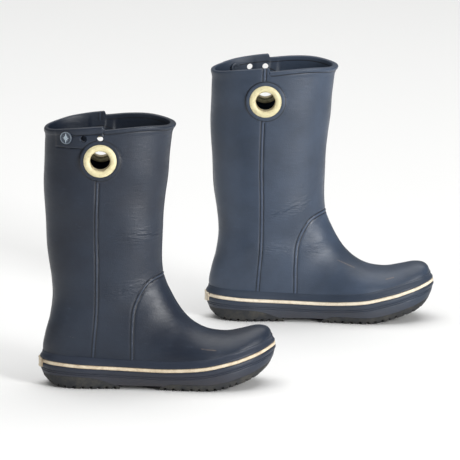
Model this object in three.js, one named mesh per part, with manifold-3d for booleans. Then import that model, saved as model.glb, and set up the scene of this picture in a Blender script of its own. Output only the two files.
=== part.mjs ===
// A pair of tall moulded foam deck boots, standing on their soles with the left boot a pace ahead.
// Millimetres, +Z up, toes towards +X. One boot is drawn as a right boot, heel at x = 0, floor at z = 0,
// its outer side towards -Y, and the left boot is its mirror image.
import * as THREE from "three";
import { mergeVertices } from "three/addons/utils/BufferGeometryUtils.js";
import Module from "manifold-3d";

const wasm = await Module();
wasm.setup();

// ---- Driving dimensions ----
const bootLength = 286; // sole, heel to toe
const bootHeight = 322; // floor to the collar at the front of the shaft
const soleWidth = 108; // across the ball of the foot
const strideLength = 200; // how far the left boot stands ahead
const standWidth = 370; // between the two boots' centre planes

const fitGap = 0.3; // between pieces that are bonded or pressed together

const wall = 4.5; // moulded foam wall of the upper
const upperFloor = 3; // floor of the upper under the insole
const collarStep = 4.5; // step down from the rear of the collar to its front
const collarStepX = 80;

const randHeight = 11.5; // top edge of the midsole above the stripe's middle
const treadDepth = 5.5; // rubber tread below the midsole
const treadWall = 3; // rubber where the tread wraps up the side
const treadGroove = 3.6; // depth of the channels between the lugs
const archOverlap = 2; // how far the raised arch reaches over the ends of the treads
const channelWidth = 3.6;
const channelSweep = 10; // how far a channel's ends trail behind its middle, over twice the sole's width

const stripeHeight = 4.6;
const stripeDepth = 2;
const stripeProud = 0.2;

const labelWidth = 30;
const labelHeight = 11;
const labelDrop = 3; // label's middle below the stripe's middle
const labelThickness = 3;
const labelProud = 1.3;

const insoleThickness = 4.5;

const ringHole = 24; // diameter a finger goes through
const ringFlange = 40; // outside diameter of the ring's face
const ringFace = 3; // thickness of that face
const ringTube = 2; // wall of the tube behind the face
const ringSeatDepth = 1.5; // recess that the face sits in
const ringCollar = 3; // width of the raised collar round the recess
const bossRise = 0.5; // how far the raised collar stands out of the wall at its proudest
const retainerFlange = 38;
const retainerThickness = 2.2;
const ringX = 75;
const ringDrop = 38; // ring's middle below the collar

const badgeDiameter = 15.5;
const badgeThickness = 2.2;
const badgeShank = 5;
const chamfer = 0.7; // on the faces of the rings and the badge
const badgePadWidth = 1; // flat pad under the badge, beyond its edge
const badgePad = 0.5; // how far the pad stands out of the wall
const badgeCap = 12;
const badgeCapThickness = 1.6;
const insidePad = 0.4; // how far the ring bosses and the badge pad reach in past the wall
const badgeX = 35;
const fixingDrop = 11; // badge and charm holes below the collar
const charmHole = 7.5;
const charmHoleX = [55, 75];

// ---- Shape of the boot, drawn at the sizes below and stretched to the driving dimensions ----
const drawnLength = 286;
const drawnHeight = 322;
const drawnWidth = 108;
const ankleHeight = 110; // the shaft stretches above this height, the foot doesn't
const alongX = bootLength / drawnLength;
const acrossY = soleWidth / drawnWidth;
const upShaft = (bootHeight - ankleHeight) / (drawnHeight - ankleHeight);
const stretchX = (x) => x * alongX;
const stretchZ = (z) => (z > ankleHeight ? ankleHeight + (z - ankleHeight) * upShaft : z);

// Sections through the upper, from the toe, round the instep and heel, to the collar. Each lies in a plane
// across the boot: [front x, front z, back x, back z, half width, middle y, height of the widest place as a
// share of the section, squareness of the lower half]. "Front" is the top of the foot, "back" its sole.
const upperSections = [
  [279, 57, 278.5, 48, 10, 5, 0.5, 2.2],
  [275.5, 64.5, 272, 36, 19.5, 4.5, 0.42, 2.4],
  [270, 68.5, 265, 28.5, 28, 3, 0.4, 2.8],
  [260, 69.5, 255, 22, 35.6, 1.4, 0.4, 3],
  [244, 66.5, 240, 16, 43.8, -0.7, 0.4, 3.2],
  [226, 63.5, 218, 13.5, 48, -0.8, 0.4, 3.2],
  [206, 66, 192, 12.5, 50, -0.8, 0.4, 3.2],
  [190, 74, 162, 12.5, 46, -1.2, 0.38, 3.2],
  [177, 86, 132, 12.5, 40.5, -2, 0.37, 3],
  [165, 102, 100, 12.5, 37, -2, 0.4, 2.8],
  [156.5, 118, 66, 12.5, 36.5, -1.4, 0.48, 2.5],
  [152.5, 128, 36, 14, 36.5, -1, 0.5, 2.4],
  [150.3, 137, 13, 22, 37, -0.6, 0.5, 2.4],
  [149.2, 145, 4.5, 42, 38, -0.3, 0.5, 2.2],
  [148.7, 153, 7, 62, 39, 0, 0.5, 2.2],
  [148.5, 162, 13.5, 86, 40, 0, 0.5, 2.2],
  [148.6, 173, 17, 110, 41.3, 0, 0.5, 2.2],
  [149.2, 188, 14, 144, 43, 0, 0.5, 2.2],
  [150.5, 207, 10, 180, 44.6, 0, 0.5, 2.2],
  [153, 232, 7.6, 216, 46.3, 0, 0.5, 2.2],
  [156, 262, 7, 254, 48, 0, 0.5, 2.2],
  [159.6, 294, 7.6, 292, 49.3, 0, 0.5, 2.2],
  [163, 322, 9, 322, 50, 0, 0.5, 2.2],
  [164.2, 345, 9.8, 345, 50.4, 0, 0.5, 2.2],
];
const upperSquareness = 2.2; // of the upper half of the foot's sections

// Outline of the sole seen from above, at its widest: [x, outer side y, inner side y], heel to toe.
const soleOutline = [
  [0, 0, 0],
  [5.5, -16.5, 16],
  [20, -29.5, 28.5],
  [50, -38.3, 36.8],
  [90, -39, 36],
  [130, -43, 39],
  [170, -50.5, 48],
  [200, -54, 53],
  [230, -51.5, 50.5],
  [255, -41.5, 43.5],
  [272, -26.5, 33],
  [282, -10, 20.5],
  [286, 5, 5],
];

// Side view curves of the sole: [x, z].
const heelStripe = [[0, 31], [50, 28.5], [100, 26], [150, 25]];
const foreStripe = [[200, 28.5], [240, 36.5], [265, 43.5], [286, 49.5]];
const stripeCurve = [...heelStripe, ...foreStripe];
const heelGround = [[0, 11], [10, 5.5], [20, 2], [32, 0], [90, 0]];
const foreGround = [[205, 0], [222, 3], [240, 8], [260, 15], [275, 22], [286, 29]];
const groundCurve = [...heelGround, ...foreGround];
const heelTreadTop = [[-8, 15.5], [45, 15.5], [70, 13], [98, 4]];
const ballTreadTop = [[146, 4], [160, 8.5], [205, 8.5], [222, 11.5]];
const toeTreadTop = [[240, 16.5], [260, 23.5], [275, 30.5], [292, 39]];
const foreTreadTop = [...ballTreadTop, ...toeTreadTop];

// Side view curves of the collar, over the top and over the foot of its step.
const rearCollar = [[-10, -10.5], [9, -9.5], [40, -4], [collarStepX, 0]];
const frontCollar = [[collarStepX, 0], [110, 2.5], [135, 3], [163, 0], [185, -1]];

// Inset of the sole's side, from its bottom edge up: [share of the height, inset, more at toe, more at heel].
const soleSide = [
  [0, 6, 14, 5],
  [0.12, 2.4, 9, 2.6],
  [0.3, 0.8, 4, 1],
  [0.55, 0, 0, 0],
  [0.8, 0.5, 0.6, 0.6],
  [1, 2, 2.5, 1.8],
];

// ---- Curves and solids ----
const sectionSides = 24;
const turnedSides = 28;
const smallSides = 16; // of the small holes

// Catmull-Rom value through evenly numbered controls.
function through(controls, t) {
  const last = controls.length - 1;
  const i = Math.min(Math.floor(t), last - 1);
  const f = t - i;
  const [a, b, c, d] = [i - 1, i, i + 1, i + 2].map((k) => controls[Math.min(Math.max(k, 0), last)]);
  return b + 0.5 * f * (c - a + f * (2 * a - 5 * b + 4 * c - d + f * (3 * (b - c) + d - a)));
}

// Height of a side view curve at x, with straight stretches between its points rounded off.
function heightAt(curve, x) {
  const drawnX = x / alongX;
  const last = curve.length - 1;
  let i = 0;
  while (i < last - 1 && curve[i + 1][0] < drawnX) i++;
  const f = THREE.MathUtils.clamp((drawnX - curve[i][0]) / (curve[i + 1][0] - curve[i][0]), 0, 1);
  return through(curve.map((p) => p[1]), i + f);
}

// A geometry from points and triangles, turned face out.
function closedGeometry(points, triangles) {
  const volume = triangles.reduce((sum, corners) => {
    const [p, q, r] = corners.map((corner) => new THREE.Vector3(...points[corner]));
    return sum + p.dot(q.cross(r));
  }, 0);
  const outward = volume > 0 ? triangles : triangles.map(([a, b, c]) => [a, c, b]);
  return new THREE.BufferGeometry()
    .setAttribute("position", new THREE.Float32BufferAttribute(points.flat(), 3))
    .setIndex(outward.flat());
}

// A closed body through rings of points, with a flat fan over each end.
function loft(rings) {
  const sides = rings[0].length;
  const points = rings.flat();
  const triangles = [];
  for (let r = 0; r + 1 < rings.length; r++)
    for (let k = 0; k < sides; k++) {
      const [a, b] = [r * sides + k, r * sides + ((k + 1) % sides)];
      triangles.push([a, b, b + sides], [a, b + sides, a + sides]);
    }
  for (const r of [0, rings.length - 1]) {
    const middle = points.length;
    points.push([0, 1, 2].map((axis) => rings[r].reduce((sum, p) => sum + p[axis], 0) / sides));
    for (let k = 0; k < sides; k++) {
      const [a, b] = [r * sides + k, r * sides + ((k + 1) % sides)];
      triangles.push(r === 0 ? [middle, b, a] : [middle, a, b]);
    }
  }
  return closedGeometry(points, triangles);
}

// manifold-3d solid of a closed geometry, and back.
function solid(geometry) {
  const bare = new THREE.BufferGeometry().setAttribute("position", geometry.getAttribute("position").clone());
  if (geometry.index) bare.setIndex(geometry.index.clone());
  const merged = mergeVertices(bare, 1e-4);
  const triVerts = new Uint32Array(merged.index.array);
  const vertProperties = merged.attributes.position.array;
  return new wasm.Manifold(new wasm.Mesh({ numProp: 3, vertProperties, triVerts }));
}

function geometryOf(body) {
  const mesh = body.getMesh();
  return new THREE.BufferGeometry()
    .setAttribute("position", new THREE.BufferAttribute(mesh.vertProperties, 3))
    .setIndex(new THREE.BufferAttribute(mesh.triVerts, 1));
}

// A solid between side view outlines, right across the boot. Points are [x, z], already in place.
function acrossBoot(outline, halfWidth = soleWidth) {
  const shape = new THREE.Shape(outline.map(([x, z]) => new THREE.Vector2(x, z)));
  const geometry = new THREE.ExtrudeGeometry(shape, { depth: 2 * halfWidth, bevelEnabled: false });
  return solid(geometry.rotateX(Math.PI / 2).translate(0, halfWidth, 0));
}

// A turned body: profile is [radius, distance along axis]; it starts at origin and runs along axis.
function turned(profile, origin, axis, sides = turnedSides) {
  const outline = profile.map(([r, h]) => new THREE.Vector2(r, h));
  const geometry = new THREE.LatheGeometry(outline, sides);
  geometry.applyQuaternion(new THREE.Quaternion().setFromUnitVectors(new THREE.Vector3(0, 1, 0), axis));
  return solid(geometry.translate(origin.x, origin.y, origin.z));
}

const disc = (radius, from, to, origin, axis, sides) =>
  turned([[0, from], [radius, from], [radius, to], [0, to]], origin, axis, sides);

const washer = (inner, outer, from, to, origin, axis, sides) =>
  turned([[inner, from], [outer, from], [outer, to], [inner, to], [inner, from]], origin, axis, sides);

// ---- The upper ----
// One section ring of the upper, drawn in by inset all round and by floor at its sole. Negative ones grow it.
function upperRing(t, inset, floor) {
  const [frontX, frontZ, backX, backZ, half, middle, widest, square] = upperSections[0].map((_, column) =>
    through(upperSections.map((row) => row[column]), t),
  );
  const front = new THREE.Vector2(stretchX(frontX), stretchZ(frontZ));
  const back = new THREE.Vector2(stretchX(backX), stretchZ(backZ));
  const up = front.clone().sub(back).normalize();
  back.addScaledVector(up, floor);
  front.addScaledVector(up, -inset);
  const length = front.distanceTo(back);
  if (t === 0) back.x -= inset; // the toe end moves along too
  return Array.from({ length: sectionSides }, (_, k) => {
    const angle = (2 * Math.PI * k) / sectionSides;
    const [c, s] = [Math.cos(angle), Math.sin(angle)];
    const power = 2 / (c >= 0 ? upperSquareness : square);
    const along = length * (widest + (c >= 0 ? 1 - widest : -widest) * Math.abs(c) ** power);
    const y = acrossY * middle + (acrossY * half - inset) * Math.sign(s) * Math.abs(s) ** power;
    return [back.x + up.x * along, y, back.y + up.y * along];
  });
}

function upperBody(inset, floor, firstSection) {
  const numbers = upperSections.map((_, number) => number).slice(firstSection);
  return solid(loft(numbers.map((number) => upperRing(number, inset, floor))));
}

// Outside front, back and half width of the shaft at a height above the ankle.
const ankleSection = 16;
function shaftAt(z) {
  const column = (n) => upperSections.map((row) => row[n]);
  let [low, high] = [ankleSection, upperSections.length - 1];
  for (let i = 0; i < 30; i++) {
    const middle = (low + high) / 2;
    const height = stretchZ((through(column(1), middle) + through(column(3), middle)) / 2);
    if (height < z) low = middle;
    else high = middle;
  }
  const [front, , back, , half] = [0, 1, 2, 3, 4].map((n) => through(column(n), low));
  return { front: stretchX(front), back: stretchX(back), half: acrossY * half };
}

// Where the shaft's outer wall stands at x and z, and which way it faces. side is -1 outer, 1 inner.
function shaftWall(x, z, side) {
  const { front, back, half } = shaftAt(z);
  const yAt = (px) => {
    const share = Math.abs((px - (front + back) / 2) / ((front - back) / 2));
    return half * (1 - share ** upperSquareness) ** (1 / upperSquareness);
  };
  const slope = (yAt(x + 1) - yAt(x - 1)) / 2;
  const axis = new THREE.Vector3(-slope, side, 0).normalize();
  return { origin: new THREE.Vector3(x, side * yAt(x), z), axis };
}

const ringPlace = { x: stretchX(ringX), z: bootHeight - ringDrop };
const flangeRadius = ringFlange / 2;
const tubeRadius = ringHole / 2 + ringTube;
const bossRadius = flangeRadius + fitGap + ringCollar;

// The pull rings' seats lie flat, square to Y, on a boss that takes up the wall's curve.
function ringSeat(side) {
  const axis = new THREE.Vector3(0, side, 0);
  const wallAt = (dx) => Math.abs(shaftWall(ringPlace.x + dx, ringPlace.z, side).origin.y);
  const edges = [-bossRadius, 0, bossRadius].map(wallAt);
  const outside = Math.max(...edges) + bossRise;
  const inside = Math.min(...edges) - wall - insidePad;
  const origin = new THREE.Vector3(ringPlace.x, 0, ringPlace.z);
  return { axis, origin, outside, inside, floor: outside - ringSeatDepth };
}

// The badge's and the charm holes' places on the outer side of the shaft.
const fixingPlace = (x) => shaftWall(stretchX(x), bootHeight - fixingDrop, -1);
const badgeSeat = fixingPlace(badgeX);
const badgeInside = -wall - badgePad - insidePad; // inner face of the pad, along the badge's axis

function upperShell() {
  const reach = 2 * wall; // of a cutter past either face of the wall
  let shell = upperBody(0, 0, 0).subtract(upperBody(wall, upperFloor, 1));
  for (const side of [-1, 1]) {
    const { axis, origin, outside, inside, floor } = ringSeat(side);
    shell = shell.add(disc(bossRadius, inside, outside, origin, axis));
    shell = shell.subtract(disc(flangeRadius + fitGap, floor, outside + reach, origin, axis));
    shell = shell.subtract(disc(tubeRadius + fitGap, inside - reach, outside + reach, origin, axis));
  }
  const { origin, axis } = badgeSeat;
  shell = shell.add(disc(badgeDiameter / 2 + badgePadWidth, badgeInside, badgePad, origin, axis));
  shell = shell.subtract(disc(badgeShank / 2 + fitGap, -reach, reach, origin, axis, smallSides));
  for (const x of charmHoleX) {
    const place = fixingPlace(x);
    shell = shell.subtract(disc(charmHole / 2, -reach, reach, place.origin, place.axis, smallSides));
  }
  const rear = rearCollar.map(([x, z]) => [stretchX(x), bootHeight + collarStep + z]);
  const front = frontCollar.map(([x, z]) => [stretchX(x), bootHeight + z]);
  const above = 2 * bootHeight;
  return shell.subtract(acrossBoot([...rear, ...front, [front.at(-1)[0], above], [rear[0][0], above]]));
}

// ---- The sole ----
const outlineSteps = 2; // points per span of the outline
const outlineSpans = soleOutline.length - 1;

// Points round the sole from the heel along the outer side to the toe and back along the inner side.
const outlineLoop = [
  ...soleOutline.map(([x, y]) => [x, y]),
  ...soleOutline.slice(1, -1).reverse().map(([x, , y]) => [x, y]),
];
function outlinePoint(t) {
  const count = outlineLoop.length;
  const wrapped = (axis) => [-1, 0, 1, 2].map((k) => outlineLoop[(Math.floor(t) + k + count) % count][axis]);
  const f = 1 + (t - Math.floor(t));
  return new THREE.Vector2(stretchX(through(wrapped(0), f)), acrossY * through(wrapped(1), f));
}
const outlineCount = outlineLoop.length * outlineSteps;
const outline = Array.from({ length: outlineCount }, (_, i) => {
  const t = i / outlineSteps;
  const point = outlinePoint(t);
  const along = outlinePoint(t + 0.02).sub(outlinePoint(t - 0.02 + outlineLoop.length)).normalize();
  return { point, outward: new THREE.Vector2(along.y, -along.x) };
});

// The outline drawn in by inset, with more at the toe and heel.
function insetOutline(inset, atToe = 0, atHeel = 0) {
  return outline.map(({ point, outward }) => {
    const more = outward.x > 0 ? atToe * outward.x ** 3 : atHeel * Math.abs(outward.x) ** 3;
    return point.clone().addScaledVector(outward, -(inset + more));
  });
}

const stripeAt = (x) => heightAt(stripeCurve, x);
const randAt = (x) => stripeAt(x) + randHeight;
const groundAt = (x) => Math.max(0, heightAt(groundCurve, x));

// A closed body of the sole's side profile whose underside is lifted by lift above the ground curve.
function soleBody(lift, extraInset) {
  const rings = soleSide.map(([share, inset, atToe, atHeel]) =>
    insetOutline(inset + extraInset, atToe, atHeel).map((p) => {
      const low = groundAt(p.x) + lift;
      return [p.x, p.y, low + (randAt(p.x) - low) * share];
    }),
  );
  const sides = rings[0].length;
  const points = rings.flat();
  const triangles = [];
  for (let r = 0; r + 1 < rings.length; r++)
    for (let k = 0; k < sides; k++) {
      const [a, b] = [r * sides + k, r * sides + ((k + 1) % sides)];
      triangles.push([a, b, b + sides], [a, b + sides, a + sides]);
    }
  // The underside and the top run straight across from the outer side to the inner side.
  for (const [start, turn] of [[0, false], [(rings.length - 1) * sides, true]])
    for (let k = 0; k < sides / 2; k++) {
      const [a, b] = [start + k, start + k + 1];
      const [c, d] = [start + ((sides - k - 1) % sides), start + ((sides - k) % sides)];
      const pair = [[a, c, b], [a, d, c]].filter((t) => new Set(t).size === 3);
      triangles.push(...(turn ? pair.map(([p, q, r]) => [p, r, q]) : pair));
    }
  return solid(closedGeometry(points, triangles));
}

// A band round the sole at the stripe's height. Corners are [inset, height above the stripe's middle].
function soleBand(corners) {
  const rings = corners.map(([inset, rise]) =>
    insetOutline(inset).map((p, i) => [p.x, p.y, stripeAt(outline[i].point.x) + rise]),
  );
  const sides = outline.length;
  const triangles = [];
  for (let r = 0; r < corners.length; r++)
    for (let k = 0; k < sides; k++) {
      const next = (r + 1) % corners.length;
      const [a, b] = [r * sides + k, r * sides + ((k + 1) % sides)];
      const [c, d] = [next * sides + ((k + 1) % sides), next * sides + k];
      triangles.push([a, b, c], [a, c, d]);
    }
  return solid(closedGeometry(rings.flat(), triangles));
}

function bandCorners(outside, inside, low, high) {
  return [[outside, low], [outside, high], [inside, high], [inside, low]];
}

// The space at the back of the heel that the label takes up, a gap wider on both sides.
const labelSpace = (gap) => solid(new THREE.BoxGeometry(bootLength / 7, labelWidth + 2 * gap, bootHeight));
function heelLabel(gap) {
  const low = -labelDrop - labelHeight / 2 - gap;
  const high = -labelDrop + labelHeight / 2 + gap;
  const inside = labelThickness - labelProud + gap;
  return soleBand(bandCorners(-labelProud, inside, low, high)).intersect(labelSpace(gap));
}

function stripe() {
  const half = stripeHeight / 2 - fitGap;
  return soleBand(bandCorners(-stripeProud, stripeDepth - fitGap, -half, half)).subtract(labelSpace(fitGap));
}

// Space taken by a tread, under its top curve; gap widens it for the midsole's recess.
function treadSpace(topCurve, gap) {
  const top = topCurve.map(([x, z]) => [stretchX(x), z + gap]);
  top[0][0] -= gap;
  top.at(-1)[0] += gap;
  return acrossBoot([...top, [top.at(-1)[0], -treadDepth], [top[0][0], -treadDepth]]);
}

// Foam core that a tread is moulded round.
const treadCore = (gap) => soleBody(treadDepth + gap, treadWall + gap);

// Channel between two lugs, a chevron across the sole.
function channel(x) {
  const chevron = [[-soleWidth, -channelSweep], [0, 0], [soleWidth, -channelSweep]];
  const edge = (points, out) => points.map(([y, dx]) => new THREE.Vector2(x + dx + out, y));
  const half = channelWidth / 2;
  const shape = new THREE.Shape([...edge(chevron, half), ...edge([...chevron].reverse(), -half)]);
  const depth = treadDepth + groundAt(x) + treadGroove;
  const geometry = new THREE.ExtrudeGeometry(shape, { depth, bevelEnabled: false });
  return solid(geometry.translate(0, 0, -treadDepth));
}

function tread(topCurve, channels) {
  let rubber = soleBody(0, 0).intersect(treadSpace(topCurve, 0)).subtract(treadCore(0));
  for (const x of channels) rubber = rubber.subtract(channel(stretchX(x)));
  return rubber;
}

function midsole(upperOutside) {
  let foam = soleBody(0, 0);
  const core = treadCore(fitGap);
  for (const curve of [heelTreadTop, foreTreadTop]) {
    foam = foam.subtract(treadSpace(curve, fitGap).subtract(core));
  }
  const archBack = stretchX(heelTreadTop.at(-1)[0] - archOverlap);
  const archFront = stretchX(foreTreadTop[0][0] + archOverlap);
  const [low, high] = [-treadDepth, treadDepth];
  foam = foam.subtract(acrossBoot([[archBack, low], [archBack, high], [archFront, high], [archFront, low]]));
  const halfGroove = stripeHeight / 2;
  foam = foam.subtract(soleBand(bandCorners(-labelThickness, stripeDepth, -halfGroove, halfGroove)));
  foam = foam.subtract(heelLabel(fitGap));
  return foam.subtract(upperOutside);
}

// The insole lies on the floor of the upper, from heel to toe.
function insole() {
  const inside = upperBody(wall + fitGap, upperFloor + fitGap, 1);
  const lift = upperFloor + fitGap + insoleThickness;
  const soleHeights = upperSections.map((row) => row[3] + lift);
  const stations = Array.from({ length: 14 }, (_, i) => bootLength * (0.03 + 0.07 * i));
  const surface = stations.map((x) => [x, through(soleHeights, floorSection(x))]);
  const ends = [[bootLength, surface.at(-1)[1]], [bootLength, 0], [-wall, 0], [-wall, surface[0][1]]];
  return inside.intersect(acrossBoot([...surface, ...ends]));
}

// Number of the section whose sole lies at x.
function floorSection(x) {
  const xs = upperSections.map((row) => row[2]);
  let [low, high] = [1, 11.4];
  for (let i = 0; i < 30; i++) {
    const middle = (low + high) / 2;
    if (through(xs, middle) * alongX > x) low = middle;
    else high = middle;
  }
  return low;
}

// ---- Rings and badge ----
function pullRing(side) {
  const { axis, origin, inside, floor } = ringSeat(side);
  const back = floor + fitGap;
  const face = back + ringFace;
  const tail = inside - retainerThickness - 2 * fitGap;
  const hole = ringHole / 2;
  const behind = [[hole, tail], [tubeRadius, tail], [tubeRadius, back], [flangeRadius, back]];
  const rim = [[flangeRadius, face - chamfer], [flangeRadius - chamfer, face]];
  const mouth = [[hole + chamfer, face], [hole, face - chamfer]];
  return turned([...behind, ...rim, ...mouth, behind[0]], origin, axis);
}

function ringRetainer(side) {
  const { axis, origin, inside } = ringSeat(side);
  const seat = inside - fitGap;
  return washer(tubeRadius + fitGap, retainerFlange / 2, seat - retainerThickness, seat, origin, axis);
}

function badge() {
  const { origin, axis } = badgeSeat;
  const under = badgePad + fitGap;
  const top = under + badgeThickness;
  const radius = badgeDiameter / 2;
  const shank = badgeShank / 2;
  const tail = badgeInside - badgeCapThickness - 2 * fitGap;
  const profile = [[0, tail], [shank, tail], [shank, under], [radius, under], [radius, top - chamfer]];
  return turned([...profile, [radius - chamfer, top], [0, top]], origin, axis);
}

function badgeBackCap() {
  const { origin, axis } = badgeSeat;
  const seat = badgeInside - fitGap;
  const hole = badgeShank / 2 + fitGap;
  return washer(hole, badgeCap / 2, seat - badgeCapThickness, seat, origin, axis);
}

// ---- Materials and the pair ----
const material = (color, roughness) => new THREE.MeshStandardMaterial({ color, roughness, metalness: 0 });
const navyFoam = material(0x2f3747, 0.55);
const creamPlastic = material(0xe9e0b4, 0.45);
const creamStripe = material(0xd9cfba, 0.6);
const darkRubber = material(0x26272a, 0.8);
const insoleFoam = material(0x23262d, 0.9);
const badgePlastic = material(0x8b96a5, 0.4);

const heelChannels = [30, 46, 62, 78];
const foreChannels = [160, 176, 192, 208, 224, 240, 256];

const upperOutside = upperBody(-fitGap, -fitGap, 0);
const pieces = [
  ["upper", upperShell(), navyFoam],
  ["midsole", midsole(upperOutside), navyFoam],
  ["stripe", stripe(), creamStripe],
  ["heel_label", heelLabel(0), creamStripe],
  ["heel_tread", tread(heelTreadTop, heelChannels), darkRubber],
  ["forefoot_tread", tread(foreTreadTop, foreChannels), darkRubber],
  ["insole", insole(), insoleFoam],
  ["outer_pull_ring", pullRing(-1), creamPlastic],
  ["outer_ring_retainer", ringRetainer(-1), creamPlastic],
  ["inner_pull_ring", pullRing(1), creamPlastic],
  ["inner_ring_retainer", ringRetainer(1), creamPlastic],
  ["badge", badge(), badgePlastic],
  ["badge_cap", badgeBackCap(), badgePlastic],
];

// Each boot stands with its middle over its own place, so that the pair is centred on the origin.
function boot(name, mirror) {
  const group = new THREE.Group();
  for (const [piece, body, look] of pieces) {
    const mesh = new THREE.Mesh(geometryOf(body), look);
    mesh.name = name + "_" + piece;
    group.add(mesh);
  }
  const middleX = (bootLength - labelProud) / 2;
  group.scale.y = mirror;
  group.position.set(-middleX - (mirror * strideLength) / 2, (-mirror * standWidth) / 2, 0);
  return group;
}

const pair = new THREE.Group();
pair.add(boot("right", 1), boot("left", -1));

export default pair;
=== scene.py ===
import math

import bpy
import numpy as np
from mathutils.bvhtree import BVHTree
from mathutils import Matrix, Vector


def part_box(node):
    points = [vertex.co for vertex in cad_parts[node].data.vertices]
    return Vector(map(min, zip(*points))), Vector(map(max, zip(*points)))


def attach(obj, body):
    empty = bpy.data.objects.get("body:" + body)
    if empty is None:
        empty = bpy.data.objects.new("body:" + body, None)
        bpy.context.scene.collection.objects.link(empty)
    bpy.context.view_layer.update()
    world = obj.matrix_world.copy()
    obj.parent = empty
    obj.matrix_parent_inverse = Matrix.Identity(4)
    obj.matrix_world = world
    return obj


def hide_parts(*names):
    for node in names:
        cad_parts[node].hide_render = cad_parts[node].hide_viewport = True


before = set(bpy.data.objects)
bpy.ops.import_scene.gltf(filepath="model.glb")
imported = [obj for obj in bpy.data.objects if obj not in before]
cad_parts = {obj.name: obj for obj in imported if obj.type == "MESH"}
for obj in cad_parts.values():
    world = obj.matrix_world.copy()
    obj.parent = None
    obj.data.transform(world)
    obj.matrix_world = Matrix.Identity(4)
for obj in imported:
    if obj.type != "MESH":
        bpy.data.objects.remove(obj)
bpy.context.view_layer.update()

# ---- Studio: a pale floor, soft lights, and a long lens that looks at the boots' sides ----
# The floor and the lights are not part of the boots. The camera stands square to the right boot's
# outer side.

FLOOR_SIZE = 12.0  # metres
CAMERA_DISTANCE = 10.0
CAMERA_ELEVATION = math.radians(12)
VIEW_WIDTH = 0.566  # metres across at the pair's middle
AIM = (-0.0115, 0.0, 0.150)


def linear(hex_colour):
    """An sRGB hex colour as linear RGBA."""
    values = [int(hex_colour[i : i + 2], 16) / 255 for i in (0, 2, 4)]
    return (*[v / 12.92 if v <= 0.04045 else ((v + 0.055) / 1.055) ** 2.4 for v in values], 1.0)


def fill(tree, made, **inputs):
    """Sets a node's inputs, by name or as _0, _1 by number; an input given as a socket is linked."""
    for key, value in inputs.items():
        slot = made.inputs[int(key[1:]) if key[0] == "_" else key.replace("_", " ")]
        if isinstance(value, bpy.types.NodeSocket):
            tree.links.new(value, slot)
        else:
            slot.default_value = value


def node(tree, kind, settings=None, **inputs):
    """Adds a node, sets its properties and fills its inputs."""
    made = tree.nodes.new(kind)
    for key, value in (settings or {}).items():
        setattr(made, key, value)
    fill(tree, made, **inputs)
    return made


def new_material(name):
    """An empty material, its tree and its Principled shader."""
    material = bpy.data.materials.new(name)
    material.use_nodes = True
    tree = material.node_tree
    return material, tree, tree.nodes["Principled BSDF"]


# Painted studio floor: even, matt, nearly white.
studio_floor, tree, shader = new_material("painted studio floor")
fill(tree, shader, Base_Color=linear("f4f4f3"), Roughness=0.9, Specular_IOR_Level=0.2)

half = FLOOR_SIZE / 2
mesh = bpy.data.meshes.new("studio_floor")
mesh.from_pydata([(-half, -half, 0), (half, -half, 0), (half, half, 0), (-half, half, 0)], [],
                 [(0, 1, 2, 3)])
mesh.materials.append(studio_floor)
floor = bpy.data.objects.new("studio_floor", mesh)
bpy.context.collection.objects.link(floor)

world = bpy.data.worlds.new("studio")
bpy.context.scene.world = world
world.use_nodes = True
fill(world.node_tree, world.node_tree.nodes["Background"], Color=(1, 1, 1, 1), Strength=0.235)
bpy.context.scene.view_settings.view_transform = "Standard"


def soft_light(name, place, aim, size, watts):
    """A rectangular area light at a place, turned to face its aim."""
    light = bpy.data.lights.new(name, "AREA")
    light.shape = "RECTANGLE"
    light.size, light.size_y = size
    light.energy = watts
    lamp = bpy.data.objects.new(name, light)
    lamp.location = place
    direction = np.array(aim) - np.array(place)
    lamp.rotation_euler = (
        math.acos(-direction[2] / np.linalg.norm(direction)),
        0,
        math.atan2(direction[1], direction[0]) - math.pi / 2,
    )
    bpy.context.collection.objects.link(lamp)


soft_light("front_right_softbox", (2.0, -2.3, 0.85), (0, 0, 0.15), (0.9, 1.8), 98)
soft_light("front_left_softbox", (-2.4, -2.2, 1.6), (0, 0, 0.15), (1.0, 1.2), 8)
soft_light("overhead_softbox", (0, 1.0, 4.0), (0, 0.4, 0), (5.0, 5.0), 175)

camera_data = bpy.data.cameras.new("camera")
camera_data.sensor_width = 36
camera_data.lens = camera_data.sensor_width * CAMERA_DISTANCE / VIEW_WIDTH
camera_data.clip_end = 100
camera = bpy.data.objects.new("camera", camera_data)
camera.location = (
    AIM[0],
    AIM[1] - CAMERA_DISTANCE * math.cos(CAMERA_ELEVATION),
    AIM[2] + CAMERA_DISTANCE * math.sin(CAMERA_ELEVATION),
)
camera.rotation_euler = (math.pi / 2 - CAMERA_ELEVATION, 0, 0)
bpy.context.collection.objects.link(camera)
bpy.context.scene.camera = camera

# ---- Uppers: foot and shaft in one ----
# Closed-cell EVA foam, moulded in one with its seam lines, ring seats and collar, then glued into the sole.
# It is matt navy with a very fine leather grain. Sizes are in millimetres, in each boot's own frame:
# heel at x = 0, floor at z = 0, outer side towards -y; the left boot is the mirror image.

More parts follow.
